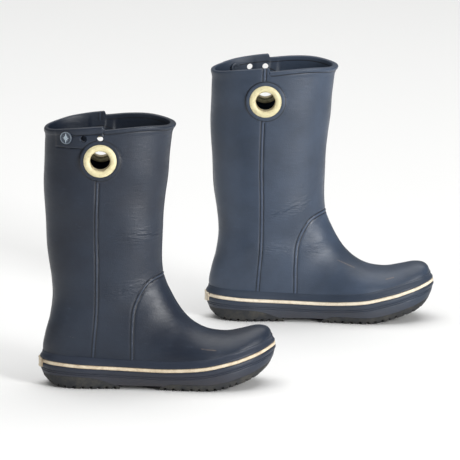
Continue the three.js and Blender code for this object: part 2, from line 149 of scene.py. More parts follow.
MM = 0.001
WALL = 4.5
UPPER_FLOOR = 3.0
COLLAR_FRONT = 322.0
COLLAR_STEP = 4.5
STRETCH_FROM = 262.0  # height above which the shaft is stretched to meet the collar
STEP_X = 80.0
STEP_WIDTH = 1.6
LABEL_PROUD = 1.3
RING_X, RING_Z = 75.0, 284.0
RING_BOSS = 23.3  # radius of the raised flat round a pull ring
RING_RECESS = 20.3
RECESS_DEPTH = 1.5
RING_FACE = 3.0  # thickness of a ring's flange
RING_GAP = 0.3
TUBE_HOLE = 14.3
FIXING_Z = 311.0
STRAP_BAND_Z = 298.5  # lower edge of the raised band the strap is fixed to
BADGE_X = 35.0
BADGE_RADIUS = 7.75
BADGE_SEAT = 0.5  # height of the flat seat under the badge, over the plain wall
CHARM_X = (55.0, 75.0)

# front x, front z, back x, back z, half width, middle y, widest place, squareness of the lower half
UPPER_SECTIONS = np.array([
    [281.6, 59, 278.5, 46, 11.5, 5, 0.5, 2.2],
    [278.6, 66.3, 272, 36, 20.5, 4.5, 0.42, 2.3],
    [272.2, 70.2, 265, 28.5, 28.4, 3, 0.4, 2.6],
    [261, 70.6, 255, 22, 35.6, 1.4, 0.4, 3],
    [244, 66.5, 240, 16, 43.8, -0.7, 0.4, 3.2],
    [226, 63.5, 218, 13.5, 48, -0.8, 0.4, 3.2],
    [206, 66, 192, 12.5, 50, -0.8, 0.4, 3.2],
    [190, 74, 162, 12.5, 46, -1.2, 0.38, 3.2],
    [177, 86, 132, 12.5, 40.5, -2, 0.37, 3],
    [165, 102, 100, 12.5, 37, -2, 0.4, 2.8],
    [156.5, 118, 66, 12.5, 36.5, -1.4, 0.48, 2.5],
    [152.5, 128, 36, 14, 36.5, -1, 0.5, 2.4],
    [150.3, 137, 13, 22, 37, -0.6, 0.5, 2.4],
    [149.2, 145, 4.5, 42, 38, -0.3, 0.5, 2.2],
    [148.7, 153, 7, 62, 39, 0, 0.5, 2.2],
    [148.5, 162, 13.5, 86, 40, 0, 0.5, 2.2],
    [148.6, 173, 17, 110, 41.3, 0, 0.5, 2.2],
    [149.2, 188, 14, 144, 43, 0, 0.5, 2.2],
    [150.5, 207, 10, 180, 44.6, 0, 0.5, 2.2],
    [153, 232, 7.6, 216, 46.3, 0, 0.5, 2.2],
    [156, 262, 7, 254, 48, 0, 0.5, 2.2],
    [159.6, 294, 7.6, 292, 49.3, 0, 0.5, 2.2],
    [163, 322, 9, 322, 50, 0, 0.5, 2.2],
])
COLLAR_SECTION = 22
UPPER_SQUARENESS = 2.2

# Side view curves: [x, z].
REAR_COLLAR = np.array([[-10, -10.5], [9, -9.5], [40, -4], [80, 0]])
FRONT_COLLAR = np.array([[80, 0], [110, 2.5], [135, 3], [163, 0], [185, -1]])
MAIN_SEAM = np.array([[65.5, 30], [65.5, 40], [67.5, 67], [69.8, 100], [70.5, 150], [70, 200], [71.8, 262],
                      [74, 322], [74, 340]])
VAMP_SEAM = np.array([[112.5, 30], [112.7, 45], [113, 75], [116, 102], [128, 125], [139, 133.5],
                      [152, 137.5], [170, 139]])
SEAM_HALF = 2.1  # from a seam's middle to each of its two grooves
STRIPE_CURVE = np.array([[0, 31], [50, 28.5], [100, 26], [150, 25], [200, 28.5], [240, 36.5], [265, 43.5],
                         [286, 49.5]])
RAND_HEIGHT = 11.5  # from the stripe's middle up to the top of the cup sole
BODIES = {"right": "right_boot", "left": "left_boot"}


def through(controls, t):
    """Catmull-Rom value through evenly numbered controls."""
    controls, t = np.asarray(controls, float), np.asarray(t, float)
    last = len(controls) - 1
    i = np.clip(np.floor(t).astype(int), 0, last - 1)
    f = t - i
    a, b, c, d = (controls[np.clip(i + k, 0, last)] for k in (-1, 0, 1, 2))
    return b + 0.5 * f * (c - a + f * (2 * a - 5 * b + 4 * c - d + f * (3 * (b - c) + d - a)))


def curve_height(curve, x):
    """Height of a side view curve at x."""
    x = np.asarray(x, float)
    i = np.clip(np.searchsorted(curve[:, 0], x, side="right") - 1, 0, len(curve) - 2)
    f = np.clip((x - curve[i, 0]) / (curve[i + 1, 0] - curve[i, 0]), 0, 1)
    return through(curve[:, 1], i + f)


def smooth(low, high, value):
    share = np.clip((np.asarray(value, float) - low) / (high - low), 0, 1)
    return share * share * (3 - 2 * share)


def boot_origin(side):
    """Where a boot's heel point stands in the row frame, from its heel label, and which way its y runs."""
    low, high = (np.array(corner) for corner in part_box(side + "_heel_label"))
    return np.array([low[0] + LABEL_PROUD * MM, (low[1] + high[1]) / 2,
                     0.0]), (1 if side == "right" else -1)


def section_rings(t, angles, inset=0.0, floor=0.0):
    """Points of the upper's sections at t, one ring a row: shape (rows, columns, 3)."""
    rows = [through(UPPER_SECTIONS[:, k], t)[:, None] for k in range(8)]
    front_x, front_z, back_x, back_z, half, middle, widest, square = rows
    length = np.hypot(front_x - back_x, front_z - back_z)
    up_x, up_z = (front_x - back_x) / length, (front_z - back_z) / length
    back_x, back_z = back_x + up_x * floor, back_z + up_z * floor
    length = length - floor - inset
    c, s = np.cos(angles)[None, :], np.sin(angles)[None, :]
    power = 2 / np.where(c >= 0, UPPER_SQUARENESS, square)
    along = length * (widest + np.where(c >= 0, 1 - widest, -widest) * np.abs(c) ** power)
    y = middle + (half - inset) * np.sign(s) * np.abs(s) ** power
    return np.stack([back_x + up_x * along, y, back_z + up_z * along], axis=-1)


def collar_height(x):
    rear = COLLAR_FRONT + COLLAR_STEP + curve_height(REAR_COLLAR, np.minimum(x, STEP_X))
    front = COLLAR_FRONT + curve_height(FRONT_COLLAR, np.maximum(x, STEP_X))
    ahead = smooth(STEP_X - STEP_WIDTH / 2, STEP_X + STEP_WIDTH / 2, x)
    return rear + (front - rear) * ahead


def to_collar(rings):
    """Stretches the top of the shaft up or down to the collar's edge."""
    x, z = rings[..., 0], rings[..., 2]
    share = np.clip((z - STRETCH_FROM) / (COLLAR_FRONT - STRETCH_FROM), 0, None)
    rings[..., 2] = np.where(share > 0, z + share**2 * (collar_height(x) - COLLAR_FRONT), z)
    return rings


def polyline_distance(curve, x, z, fine=160):
    """Signed distance in the side view from a smooth curve through the given points."""
    t = np.linspace(0, len(curve) - 1, fine)
    line = np.stack([through(curve[:, 0], t), through(curve[:, 1], t)], axis=-1)
    best = np.full(x.shape, 1e9)
    for a, b in zip(line[:-1], line[1:]):
        along = b - a
        share = np.clip(((x - a[0]) * along[0] + (z - a[1]) * along[1]) / (along @ along), 0, 1)
        dx, dz = x - a[0] - share * along[0], z - a[1] - share * along[1]
        distance = np.hypot(dx, dz) * np.where(along[0] * dz - along[1] * dx >= 0, 1, -1)
        best = np.where(np.abs(distance) < np.abs(best), distance, best)
    return best


def valley(distance, width):
    return np.exp(-((distance / width) ** 2))


def on_ring(x, z):
    return np.hypot(x - RING_X, z - RING_Z)


AWAY = 50.0  # stands for "no line near here"


def engraved_lines(x, y, z):
    """Signed distances in the side view to the main seam, vamp seam, front lip, strap band and eyelet
    rim."""
    outer = y < 0
    from_ring = on_ring(x, z)
    top = collar_height(x)
    main = polyline_distance(MAIN_SEAM, x, z)
    main = np.where((from_ring < RING_BOSS + 2) | (outer & (z > RING_Z)), AWAY, main)
    vamp = polyline_distance(VAMP_SEAM, x, z)
    lip = np.where(x > STEP_X - 1, z - (top - 5.5), AWAY)
    lip = np.where(outer & (x <= STEP_X) & (x > 30), z - (top - 9.0), lip)
    band = np.where(outer & (x > 23) & (x < RING_X) & (from_ring > RING_BOSS + 1), z - STRAP_BAND_Z, AWAY)
    return main, vamp, lip, band, from_ring - (RING_BOSS + 1.8)


CREASE_SCALE = 1.35  # on the depths below
# Creases where each upper has folded in wear, as bundles of fine folds:
# x, z of one end, x, z of the other, sag in the middle, depth, and the side of the boot they are on.
CREASES = {
    "right": [(86, 185, 152, 188, 4, 0.7, -1), (96, 117, 136, 129, 3, 0.6, -1),
              (78, 122, 104, 119, -2, 0.35, -1),
              (76, 150, 124, 166, 5, 0.5, 1), (80, 118, 118, 110, 4, 0.5, 1)],
    "left": [(72, 128, 118, 148, 3, 0.75, 1), (100, 141, 134, 156, -2, 0.45, 1),
             (66, 88, 110, 92, 3, 0.65, 1),
             (116, 92, 152, 98, -3, 0.6, 1), (80, 165, 128, 180, -4, 0.5, -1),
             (84, 108, 122, 122, 5, 0.5, -1)],
}
# Scratches, from x, z to x, z, and the side they are on.
SCRATCHES = {
    "right": [(31, 66, 44, 64, -1), (196, 52, 214, 50, -1), (150, 96, 158, 90, 1)],
    "left": [(165, 78, 187, 68, 1), (52, 70, 58, 62, -1), (226, 55, 236, 57, 1)],
}


def crease_folds(side, x, y, z):
    """Height of the folds, and how near each point is to a creased area, from 0 to 1."""
    height, near = np.zeros(x.shape), np.zeros(x.shape)
    for x0, z0, x1, z1, sag, depth, face in CREASES[side]:
        share = np.clip((x - x0) / (x1 - x0), -0.2, 1.2)
        middle = z0 + (z1 - z0) * share + sag * 4 * share * (1 - share)
        ends = smooth(-0.15, 0.3, share) * smooth(1.15, 0.7, share) * (y * face > 0)
        near = np.maximum(near, ends * valley(z - middle, 9.0))
        for fold, (offset, part) in enumerate(((0, 1.0), (2.9, 0.55), (-3.2, 0.45), (5.8, 0.3))):
            line = middle + offset + 0.8 * np.sin(x * (0.16 + 0.03 * fold) + z0 + fold)
            fade = 0.6 + 0.4 * np.sin(x * 0.11 + 2.1 * fold + z1)
            shape = valley(z - line, 1.1) - 0.45 * valley(z - line - 1.9, 1.4)
            height -= CREASE_SCALE * depth * part * fade * ends * shape
    return height, near


def scratch_distance(side, x, y, z):
    """Distance in the side view to the nearest scratch."""
    nearest = np.full(x.shape, AWAY)
    for x0, z0, x1, z1, face in SCRATCHES[side]:
        share = np.clip(((x - x0) * (x1 - x0) + (z - z0) * (z1 - z0)) / ((x1 - x0) ** 2 + (z1 - z0) ** 2),
                        0, 1)
        away = np.hypot(x - x0 - share * (x1 - x0), z - z0 - share * (z1 - z0))
        nearest = np.minimum(nearest, np.where(y * face > 0, away, AWAY))
    return nearest


def relief(side, x, y, z):
    """How far the upper's surface stands out from its plain shape."""
    main, vamp, lip, band, eyelet_rim = engraved_lines(x, y, z)
    height = np.zeros(x.shape)
    for seam in (main, vamp):
        height += 0.4 * valley(seam,
                               1.3) - 0.8 * (valley(seam - SEAM_HALF, 0.8) + valley(seam + SEAM_HALF, 0.8))
    height -= 1.0 * (valley(lip, 0.9) + valley(band, 0.9) + valley(eyelet_rim, 0.9))
    top = collar_height(x)
    flare = 1.0 + 1.6 * smooth(110, 165, x) + 0.6 * smooth(30, 5, x)
    height += np.where(x > STEP_X, 0.5, 0.5 * (y < 0)) * smooth(top - 6.6, top - 5.4, z)
    height += 0.9 * (y < 0) * smooth(21, 24, x) * smooth(STEP_X, STEP_X - 3, x) * smooth(298, 299.2, z)
    height += flare * smooth(top - 15, top - 2, z) ** 2
    height += crease_folds(side, x, y, z)[0]
    broad = np.sin(x * 0.045 + z * 0.021 + 1.3) * np.sin(z * 0.037 - 0.4 + np.sign(y))
    broad += 0.5 * np.sin(z * 0.083 + x * 0.03)
    height += 0.8 * broad * smooth(70, 110, z) * smooth(COLLAR_FRONT - 20, COLLAR_FRONT - 70, z)
    rand = curve_height(STRIPE_CURVE, x) + RAND_HEIGHT
    return height * smooth(rand - 1, rand + 2, z)


def boss_rings(rings, level):
    """Flattens the wall round each pull ring, with a fillet out to the wall."""
    x, y, z = rings[..., 0], rings[..., 1], rings[..., 2]
    flat = smooth(RING_BOSS + 3.2, RING_BOSS, on_ring(x, z)) * (z > 200)
    rings[..., 1] = y + flat * (np.sign(y) * level - y)
    return rings


def ring_quads(rows, columns, closed=False):
    """Quads between rings of points; closed joins the last ring to the first."""
    index = np.arange(rows * columns).reshape(rows, columns)
    nxt = np.roll(index, -1, axis=1)
    quads = np.stack([index, nxt, np.roll(nxt, -1, axis=0), np.roll(index, -1, axis=0)], axis=-1)
    return [tuple(q) for q in (quads if closed else quads[:-1]).reshape(-1, 4).tolist()]


def loft_faces(rows, columns):
    """Quads of a closed loft of rings, and a fan at each end round two added points."""
    start, end, last = rows * columns, rows * columns + 1, (rows - 1) * columns
    fans = [(start, (k + 1) % columns, k) for k in range(columns)]
    fans += [(end, last + k, last + (k + 1) % columns) for k in range(columns)]
    return ring_quads(rows, columns) + fans


def mesh_volume(points, faces):
    total = 0.0
    points = np.asarray(points)
    for size in (3, 4):
        group = np.array([f for f in faces if len(f) == size])
        if not len(group):
            continue
        p = points[group]
        for k in range(1, size - 1):
            total += np.einsum("ij,ij->", p[:, 0], np.cross(p[:, k], p[:, k + 1]))
    return total


def add_piece(name, points, faces, side=None):
    """A new object from points in a boot's own frame in millimetres, or in the row frame when side is
    None."""
    points = np.asarray(points, float)
    if side:
        origin, mirror = boot_origin(side)
        points = origin + points * MM * np.array([1, mirror, 1])
    if mesh_volume(points - points.mean(axis=0), faces) < 0:
        faces = [tuple(reversed(face)) for face in faces]
    mesh = bpy.data.meshes.new(name)
    mesh.from_pydata(points.tolist(), [], faces)
    mesh.validate()
    piece = bpy.data.objects.new(name, mesh)
    bpy.context.collection.objects.link(piece)
    return piece


def loft_piece(name, rings, side):
    rows, columns = rings.shape[:2]
    ends = [rings[0].mean(axis=0), rings[-1].mean(axis=0)]
    points = np.concatenate([rings.reshape(-1, 3), ends])
    return add_piece(name, points, loft_faces(rows, columns), side)


def combine(piece, tool, operation="DIFFERENCE"):
    """Cuts or joins a piece with a tool solid, and takes the tool away."""
    modifier = piece.modifiers.new("shape", "BOOLEAN")
    modifier.operation = operation
    modifier.solver = "MANIFOLD"
    modifier.object = tool
    made = bpy.data.meshes.new_from_object(piece.evaluated_get(bpy.context.evaluated_depsgraph_get()))
    piece.modifiers.remove(modifier)
    old = piece.data
    piece.data = made
    made.name = piece.name
    bpy.data.meshes.remove(old)
    bpy.data.objects.remove(tool)
    return piece


def spun_points(profile, origin, axis, sides):
    """Rings of a turned body. profile is [radius, distance along axis], all in millimetres."""
    axis = np.array(axis, float) / np.linalg.norm(axis)
    across = np.cross(axis, (0, 0, 1.0))
    across /= np.linalg.norm(across)
    up = np.cross(across, axis)
    angles = np.linspace(0, 2 * math.pi, sides, endpoint=False)
    ring = np.cos(angles)[:, None] * across + np.sin(angles)[:, None] * up
    return np.stack([np.asarray(origin) + r * ring + h * axis for r, h in profile])


def spun_piece(name, profile, origin, axis, side, sides=96, tube=False):
    """A turned body; a tube's profile closes on itself, any other is closed on the axis."""
    rings = spun_points(profile, origin, axis, sides)
    if not tube:
        return loft_piece(name, rings, side)
    return add_piece(name, rings.reshape(-1, 3), ring_quads(len(profile), sides, closed=True), side)


def plug(name, radius, low, high, origin, axis, side, sides=64):
    return spun_piece(name, [(radius, low), (radius, high)], origin, axis, side, sides)


def finish_piece(piece, material, side, slot, *nodes, body=None, sharp=35):
    """Smooth shading with crisp edges, the material, and the piece's place in the frame."""
    piece.data.materials.clear()
    piece.data.materials.append(material)
    piece.data.polygons.foreach_set("material_index", [0] * len(piece.data.polygons))
    piece.data.shade_smooth()
    piece.data.set_sharp_from_angle(angle=math.radians(sharp))
    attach(piece, body or BODIES[side])
    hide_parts(*nodes)


def side_angles(columns):
    """Angles round a section, closer together at the sides where the seams run."""
    fine = np.linspace(0, 2 * math.pi, 4096)
    folded = np.abs((fine + math.pi) % (2 * math.pi) - math.pi)
    density = 1 + 1.7 * np.exp(-(((folded - math.radians(100)) / math.radians(15)) ** 2))
    total = np.concatenate([[0], np.cumsum((density[1:] + density[:-1]) / 2 * np.diff(fine))])
    return np.interp(np.linspace(0, total[-1], columns, endpoint=False), total, fine)


def even_rows(first, last, count, low_share=0.25):
    """Section numbers whose rings lie about evenly apart, by the widest gap round each ring."""
    t = np.linspace(first, last, 1200)
    ring = section_rings(t, np.linspace(0, 2 * math.pi, 16, endpoint=False))
    step = np.linalg.norm(np.diff(ring, axis=0), axis=-1)
    step = (1 - low_share) * step.max(axis=1) + low_share * step.mean(axis=1)
    total = np.concatenate([[0], np.cumsum(step)])
    return np.interp(np.linspace(0, total[-1], count), total, t)


def wall_at(x, z, face):
    """A point on the shaft's outer wall and its outward direction, in a boot's own frame."""
    half, front, back = (np.interp(z, UPPER_SECTIONS[16:, 1] / 2 + UPPER_SECTIONS[16:, 3] / 2,
                                   UPPER_SECTIONS[16:, k])
                         for k in (4, 0, 2))
    def depth(px):
        share = abs((px - (front + back) / 2) / ((front - back) / 2))
        return half * (1 - share**UPPER_SQUARENESS) ** (1 / UPPER_SQUARENESS)
    slope = (depth(x + 1) - depth(x - 1)) / 2
    axis = np.array([-slope, face, 0.0])
    return np.array([x, face * depth(x), z]), axis / np.linalg.norm(axis)


LOWER_ROWS, TOP_ROWS, INNER_ROWS, COLUMNS = 222, 48, 58, 264
TOP_START = 20.8  # section number above which the rows lie closer, for the strap band and the lip
RIM_RADIUS = 1.7
angles = side_angles(COLUMNS)


def seat_levels(side):
    """Outer and inner face of the ring seats, as distances from the boot's middle."""
    middle = boot_origin(side)[0][1]
    ring, washer = (max(abs(corner[1] - middle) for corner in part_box(side + name)) / MM
                    for name in ("_outer_pull_ring", "_outer_ring_retainer"))
    return ring - RING_FACE - RING_GAP + RECESS_DEPTH, washer + RING_GAP


def upper_mesh(side):
    outside, inside = seat_levels(side)
    top_rows = even_rows(TOP_START, COLLAR_SECTION, TOP_ROWS)[1:]
    outer = to_collar(section_rings(np.concatenate([even_rows(0, TOP_START, LOWER_ROWS), top_rows]),
                                    angles))
    along = np.gradient(outer, axis=0)
    around = (np.roll(outer, -1, axis=1) - np.roll(outer, 1, axis=1)) / 2
    normal = np.cross(around, along)
    normal /= np.maximum(np.linalg.norm(normal, axis=-1, keepdims=True), 1e-9)
    middle = outer.mean(axis=1, keepdims=True)
    normal *= np.sign(np.sum(normal * (outer - middle), axis=-1).mean())
    outer = outer + normal * relief(side, outer[..., 0], outer[..., 1], outer[..., 2])[..., None]
    outer = boss_rings(outer, outside)
    inner = to_collar(section_rings(even_rows(1, COLLAR_SECTION, INNER_ROWS), angles, WALL, UPPER_FLOOR))
    inner = boss_rings(inner, inside)[::-1]
    edge_out, edge_in = outer[-1], inner[0]
    across = edge_in - edge_out
    width = np.linalg.norm(across[:, :2], axis=1, keepdims=True)
    inward = np.concatenate([across[:, :2] / width, np.zeros((COLUMNS, 1))], axis=1)
    up = np.array([0, 0, 1.0])
    low = up * RIM_RADIUS
    rim = []
    for degrees in (0, 25, 50, 70, 90):
        a = math.radians(degrees)
        rim.append(edge_out - low + RIM_RADIUS * ((1 - math.cos(a)) * inward + math.sin(a) * up))
    for degrees in (90, 60, 30, 0):
        a = math.radians(degrees)
        rim.append(edge_in - low + RIM_RADIUS * (-(1 - math.cos(a)) * inward + math.sin(a) * up))
    for k in (3, 2, 1):  # the last rows below the rim keep their order
        outer[-1 - k, :, 2] = np.minimum(outer[-1 - k, :, 2], (edge_out - low)[:, 2] - 0.25 * k)
    rings = np.concatenate([outer[:-1], np.array(rim), inner[1:]])
    upper = loft_piece(side + "_foam_upper", rings, side)
    origin, mirror = boot_origin(side)
    for face in (-1, 1):
        centre = (RING_X, 0, RING_Z)
        axis = (0, face, 0)
        combine(upper, plug("recess", RING_RECESS, outside - RECESS_DEPTH, outside + 6, centre, axis, side))
        combine(upper, plug("tube_hole", TUBE_HOLE, inside - 6, outside + 6, centre, axis, side))
    place, axis = wall_at(BADGE_X, FIXING_Z, -1)
    combine(upper, plug("badge_seat", BADGE_RADIUS + 0.45, BADGE_SEAT, 6, place, axis, side, 96))
    combine(upper, plug("shank_hole", 2.8, -10, 10, place, axis, side, 32))
    for x in CHARM_X:
        place, axis = wall_at(x, FIXING_Z, -1)
        bore = [(3.75, -12), (3.75, -0.7), (4.7, 0.35), (4.7, 8)]
        combine(upper, spun_piece("charm_hole", bore, place, axis, side, 40))
    points = np.empty(len(upper.data.vertices) * 3)
    upper.data.vertices.foreach_get("co", points)
    own = (points.reshape(-1, 3) - origin) / MM * np.array([1, mirror, 1])
    names = ("main_seam", "vamp_seam", "lip", "band", "eyelet_rim", "creased", "scratch")
    values = (*engraved_lines(*own.T), crease_folds(side, *own.T)[1], scratch_distance(side, *own.T))
    for name, distance in zip(names, values):
        attribute = upper.data.attributes.new(name, "FLOAT", "POINT")
        attribute.data.foreach_set("value", distance.astype(np.float32))
    return upper


def maths(tree, operation, *values):
    """The result of a maths node."""
    numbered = {f"_{k}": value for k, value in enumerate(values)}
    return node(tree, "ShaderNodeMath", {"operation": operation}, **numbered).outputs[0]


def spread(tree, value, low, high, to_low=0.0, to_high=1.0, interpolation="LINEAR"):
    """A value mapped from one range to another and held within it."""
    settings = {"interpolation_type": interpolation}
    made = node(tree, "ShaderNodeMapRange", settings, Value=value, _1=low, _2=high, _3=to_low, _4=to_high)
    return made.outputs["Result"]


def blend(tree, share, one, other):
    """One colour turning into the other by a share from 0 to 1."""
    return node(tree, "ShaderNodeMix", {"data_type": "RGBA"}, _0=share, _6=one, _7=other).outputs[2]


def noise(tree, place, scale, detail=2.0, roughness=0.5, distortion=0.0):
    made = node(tree, "ShaderNodeTexNoise", Vector=place, Scale=scale, Detail=detail, Roughness=roughness,
                Distortion=distortion)
    return made.outputs["Fac"]


def bumped(tree, height, strength, distance, *below):
    """A normal bent by a height, on top of the normal below if one is given."""
    made = node(tree, "ShaderNodeBump", Height=height, Strength=strength, Distance=distance)
    for normal in below:
        fill(tree, made, Normal=normal)
    return made.outputs["Normal"]


def stored(tree, name):
    """A value stored on the mesh."""
    return node(tree, "ShaderNodeAttribute", {"attribute_name": name}).outputs["Fac"]


def object_place(tree):
    return node(tree, "ShaderNodeTexCoord").outputs["Object"]


def mapped(tree, place, **settings):
    return node(tree, "ShaderNodeMapping", Vector=place, **settings).outputs["Vector"]


def nearest_of(tree, distances):
    """The smallest of some distances."""
    nearest = distances[0]
    for distance in distances[1:]:
        nearest = maths(tree, "MINIMUM", nearest, distance)
    return nearest


def moulded_foam(name, dark, light, scuff, seed):
    """Moulded EVA foam: matt, finely grained, a little mottled, with pale scuffs, painted shade darkening
    the engraved lines, and paler seam ridges that are wear and painted highlight."""
    material, tree, shader = new_material(name)
    place = object_place(tree)
    shifted = mapped(tree, place, Location=(seed, seed * 0.7, 0))
    mottle = noise(tree, shifted, 16.0, 4.0, 0.6)
    cloud = spread(tree, mottle, 0.35, 0.68)
    base = blend(tree, cloud, linear(dark), linear(light))
    stretched = mapped(tree, shifted, Scale=(1.0, 1.0, 3.2))
    rub = noise(tree, stretched, 55.0, 6.0, 0.7)
    rubbed = spread(tree, rub, 0.62, 0.8, 0.0, 0.35)
    worn = blend(tree, rubbed, base, linear(scuff))
    offsets = {"main_seam": SEAM_HALF, "vamp_seam": SEAM_HALF, "lip": 0.0, "band": 0.0, "eyelet_rim": 0.0}
    away = {line: maths(tree, "ABSOLUTE", stored(tree, line)) for line in offsets}
    grooves = [maths(tree, "ABSOLUTE",
                     maths(tree, "SUBTRACT", away[line], offsets[line])) for line in offsets]
    # Painted shade: the engraved grooves are darkened towards near black.
    groove_shade_share = spread(tree, nearest_of(tree, grooves), 1.0, 0.1, interpolation="SMOOTHSTEP")
    groove_shaded = blend(tree, maths(tree, "MULTIPLY", groove_shade_share, 0.95), worn, linear("0c1018"))
    # Paler seam ridges: wear, and a painted highlight along each ridge.
    ridge = nearest_of(tree, [away["main_seam"], away["vamp_seam"]])
    on_ridge = spread(tree, ridge, 1.1, 0.3, interpolation="SMOOTHSTEP")
    ridge_patches = spread(tree, rub, 0.3, 0.6, 0.1, 0.42)
    ridge_wear_and_highlight = maths(tree, "MULTIPLY", on_ridge, ridge_patches)
    ridge_lightened = blend(tree, ridge_wear_and_highlight, groove_shaded, linear(scuff))
    scratched = spread(tree, stored(tree, "scratch"), 0.75, 0.2, 0.0, 0.5)
    bitten = spread(tree, rub, 0.35, 0.5)
    scratched = maths(tree, "MULTIPLY", scratched, bitten)
    marked = blend(tree, scratched, ridge_lightened, linear("7d6f63"))
    rough = spread(tree, rub, 0.3, 0.75, 0.37, 0.52)
    fill(tree, shader, Base_Color=marked, Roughness=rough, IOR=1.46, Specular_IOR_Level=0.5)
    grain = node(tree, "ShaderNodeTexVoronoi", {"feature": "DISTANCE_TO_EDGE"}, Vector=shifted,
                 Scale=450.0).outputs["Distance"]
    pores = noise(tree, shifted, 1500.0, 2.0)
    ripple = noise(tree, stretched, 90.0, 3.0, 0.55)
    first = bumped(tree, grain, 0.35, 0.0003)
    second = bumped(tree, pores, 0.25, 0.0001, first)
    third = bumped(tree, ripple, 0.35, 0.0006, second)
    level = mapped(tree, shifted, Scale=(0.5, 0.5, 3.0))
    folds = noise(tree, level, 150.0, 3.0, 0.6, 0.4)
    folds = maths(tree, "MULTIPLY", folds, stored(tree, "creased"))
    fourth = bumped(tree, folds, 0.7, 0.0016, third)
    fill(tree, shader, Normal=fourth)
    return material


# The left boot's foam is painted lighter than the right's: a lit copy of the same navy, standing for the
# stronger light on the left boot.
foams = {
    "right": moulded_foam("navy moulded EVA foam, right", "141c2a", "1e2837", "465266", 0.0),
    "left": moulded_foam("navy moulded EVA foam, left", "2f3948", "3b4759", "505e78", 3.1),
}
for side in BODIES:
    finish_piece(upper_mesh(side), foams[side], side, "navy_foam", side + "_upper")

# ---- Midsoles: the cupped soles ----
# The same navy EVA, moulded as a cup that the upper is glued into. It swells above and below the stripe,
# has two thin styling grooves low on its side, and hollows underneath that hold the treads.

GROUND_CURVE = np.array([[0, 11], [10, 5.5], [20, 2], [32, 0], [90, 0], [205, 0], [222, 2.5], [240, 7],
                         [260, 13],
                         [275, 19], [286, 25.5]])
HEEL_TREAD_TOP = [[-8, 15.5], [45, 15.5], [70, 13], [98, 4]]
FORE_TREAD_TOP = [[146, 4], [160, 8.5], [205, 8.5], [222, 11], [240, 15.5], [260, 21.5], [275, 27.5],
                  [292, 35.5]]
# x, outer y, inner y
SOLE_OUTLINE = [[0, 0, 0], [5.5, -16.5, 16], [20, -29.5, 28.5], [50, -38.3, 36.8], [90, -39, 36],
                [130, -43, 39],
                [170, -50.5, 48], [200, -54, 53], [230, -51.5, 50.5], [255, -41.5, 43.5], [272, -26.5, 33],
                [282, -10, 20.5], [286, 5, 5]]
# share of the sole's height, inset, more at the toe, more at the heel
SOLE_SIDE = np.array([[0, 6, 7.5, 5], [0.12, 2.4, 4, 2.6], [0.3, 0.8, 1.5, 1], [0.55, 0, 0, 0],
                      [0.8, 0.5, 0.6, 0.6],
                      [1, 2, 2.5, 1.8]])
RAND_PROUD = 0.9  # how far the top of the cup sole stands out of the upper
STRIPE_HALF = 2.3
STRIPE_DEPTH = 2.0
TREAD_DEPTH = 5.5
TREAD_WALL = 3.0
SOLE_GAP = 0.2
OUTLINE_STEPS = 15
OUTSIDE = 20.0  # how far outside the sole's outline the rays that look for the upper start
LOWEST_RISE = -12.0  # top of the lowest part of the side, over the stripe's middle
ARCH = [[96, -5.5], [96, 5.5], [148, 5.5], [148, -5.5]]

outline_loop = np.array([[x, y] for x, y, _ in SOLE_OUTLINE] + [[x, y] for x, _,
                                                                y in SOLE_OUTLINE[1:-1][::-1]], float)


def closed_through(controls, t):
    count = len(controls)
    i = np.floor(t).astype(int)
    f = (t - i)[:, None]
    a, b, c, d = (controls[(i + k) % count] for k in (-1, 0, 1, 2))
    return b + 0.5 * f * (c - a + f * (2 * a - 5 * b + 4 * c - d + f * (3 * (b - c) + d - a)))


outline_t = np.arange(len(outline_loop) * OUTLINE_STEPS) / OUTLINE_STEPS
outline_points = closed_through(outline_loop, outline_t)
along = closed_through(outline_loop, outline_t + 0.02) - closed_through(outline_loop, outline_t - 0.02)
along /= np.linalg.norm(along, axis=1, keepdims=True)
outline_outward = np.stack([along[:, 1], -along[:, 0]], axis=1)


def upper_tree():
    """A search tree of the upper's plain outer surface, in a boot's own frame."""
    rings = section_rings(even_rows(0, 15, 140), np.linspace(0, 2 * math.pi, 160, endpoint=False))
    rows, columns = rings.shape[:2]
    points = np.concatenate([rings.reshape(-1, 3), [rings[0].mean(axis=0), rings[-1].mean(axis=0)]])
    return BVHTree.FromPolygons(points.tolist(), loft_faces(rows, columns))


upper_surface = upper_tree()


def upper_inset(heights):
    """How far inside the sole's outline the upper's surface lies, at the given height for each point."""
    found = []
    for (x, y), (nx, ny), z in zip(outline_points, outline_outward, heights):
        hit = upper_surface.ray_cast((x + nx * OUTSIDE, y + ny * OUTSIDE, z), (-nx, -ny, 0), OUTSIDE + 15)
        found.append(hit[3] - OUTSIDE if hit[0] else 4.0)
    found = np.clip(found, 0.8, 7.0)
    for _ in range(14):
        found = (np.roll(found, 1) + 2 * found + np.roll(found, -1)) / 4
    return found


top_inset = upper_inset(curve_height(STRIPE_CURVE, outline_points[:, 0]) + RAND_HEIGHT - 1.0)


def sole_ring(inset, height, lift=0.0, hug=0.0):
    """One ring round the sole. height is ("rise", mm over the stripe's middle) or ("low", share of the
    lowest part).
    hug is how much the ring follows the upper's surface instead of the sole's own side."""
    inset_points = outline_points.copy()
    for _ in range(2):  # the height depends on where the ring has moved to
        x = inset_points[:, 0]
        ground = np.maximum(0, curve_height(GROUND_CURVE, x)) + lift
        stripe = curve_height(STRIPE_CURVE, x)
        if height[0] == "rise":
            z = stripe + height[1]
        else:
            z = ground + (stripe + LOWEST_RISE - ground) * height[1]
        share = np.clip((z - ground) / (stripe + RAND_HEIGHT - ground), 0, 1)
        plain, toe, heel = (np.interp(share, SOLE_SIDE[:, 0], SOLE_SIDE[:, k]) for k in (1, 2, 3))
        facing = outline_outward[:, 0]
        more = np.where(facing > 0, toe * facing**3, heel * np.abs(facing) ** 3)
        own = (plain + more) * (1 - hug) + (top_inset - RAND_PROUD) * hug
        inset_points = outline_points - outline_outward * (own + inset)[:, None]
    return np.column_stack([inset_points, z])


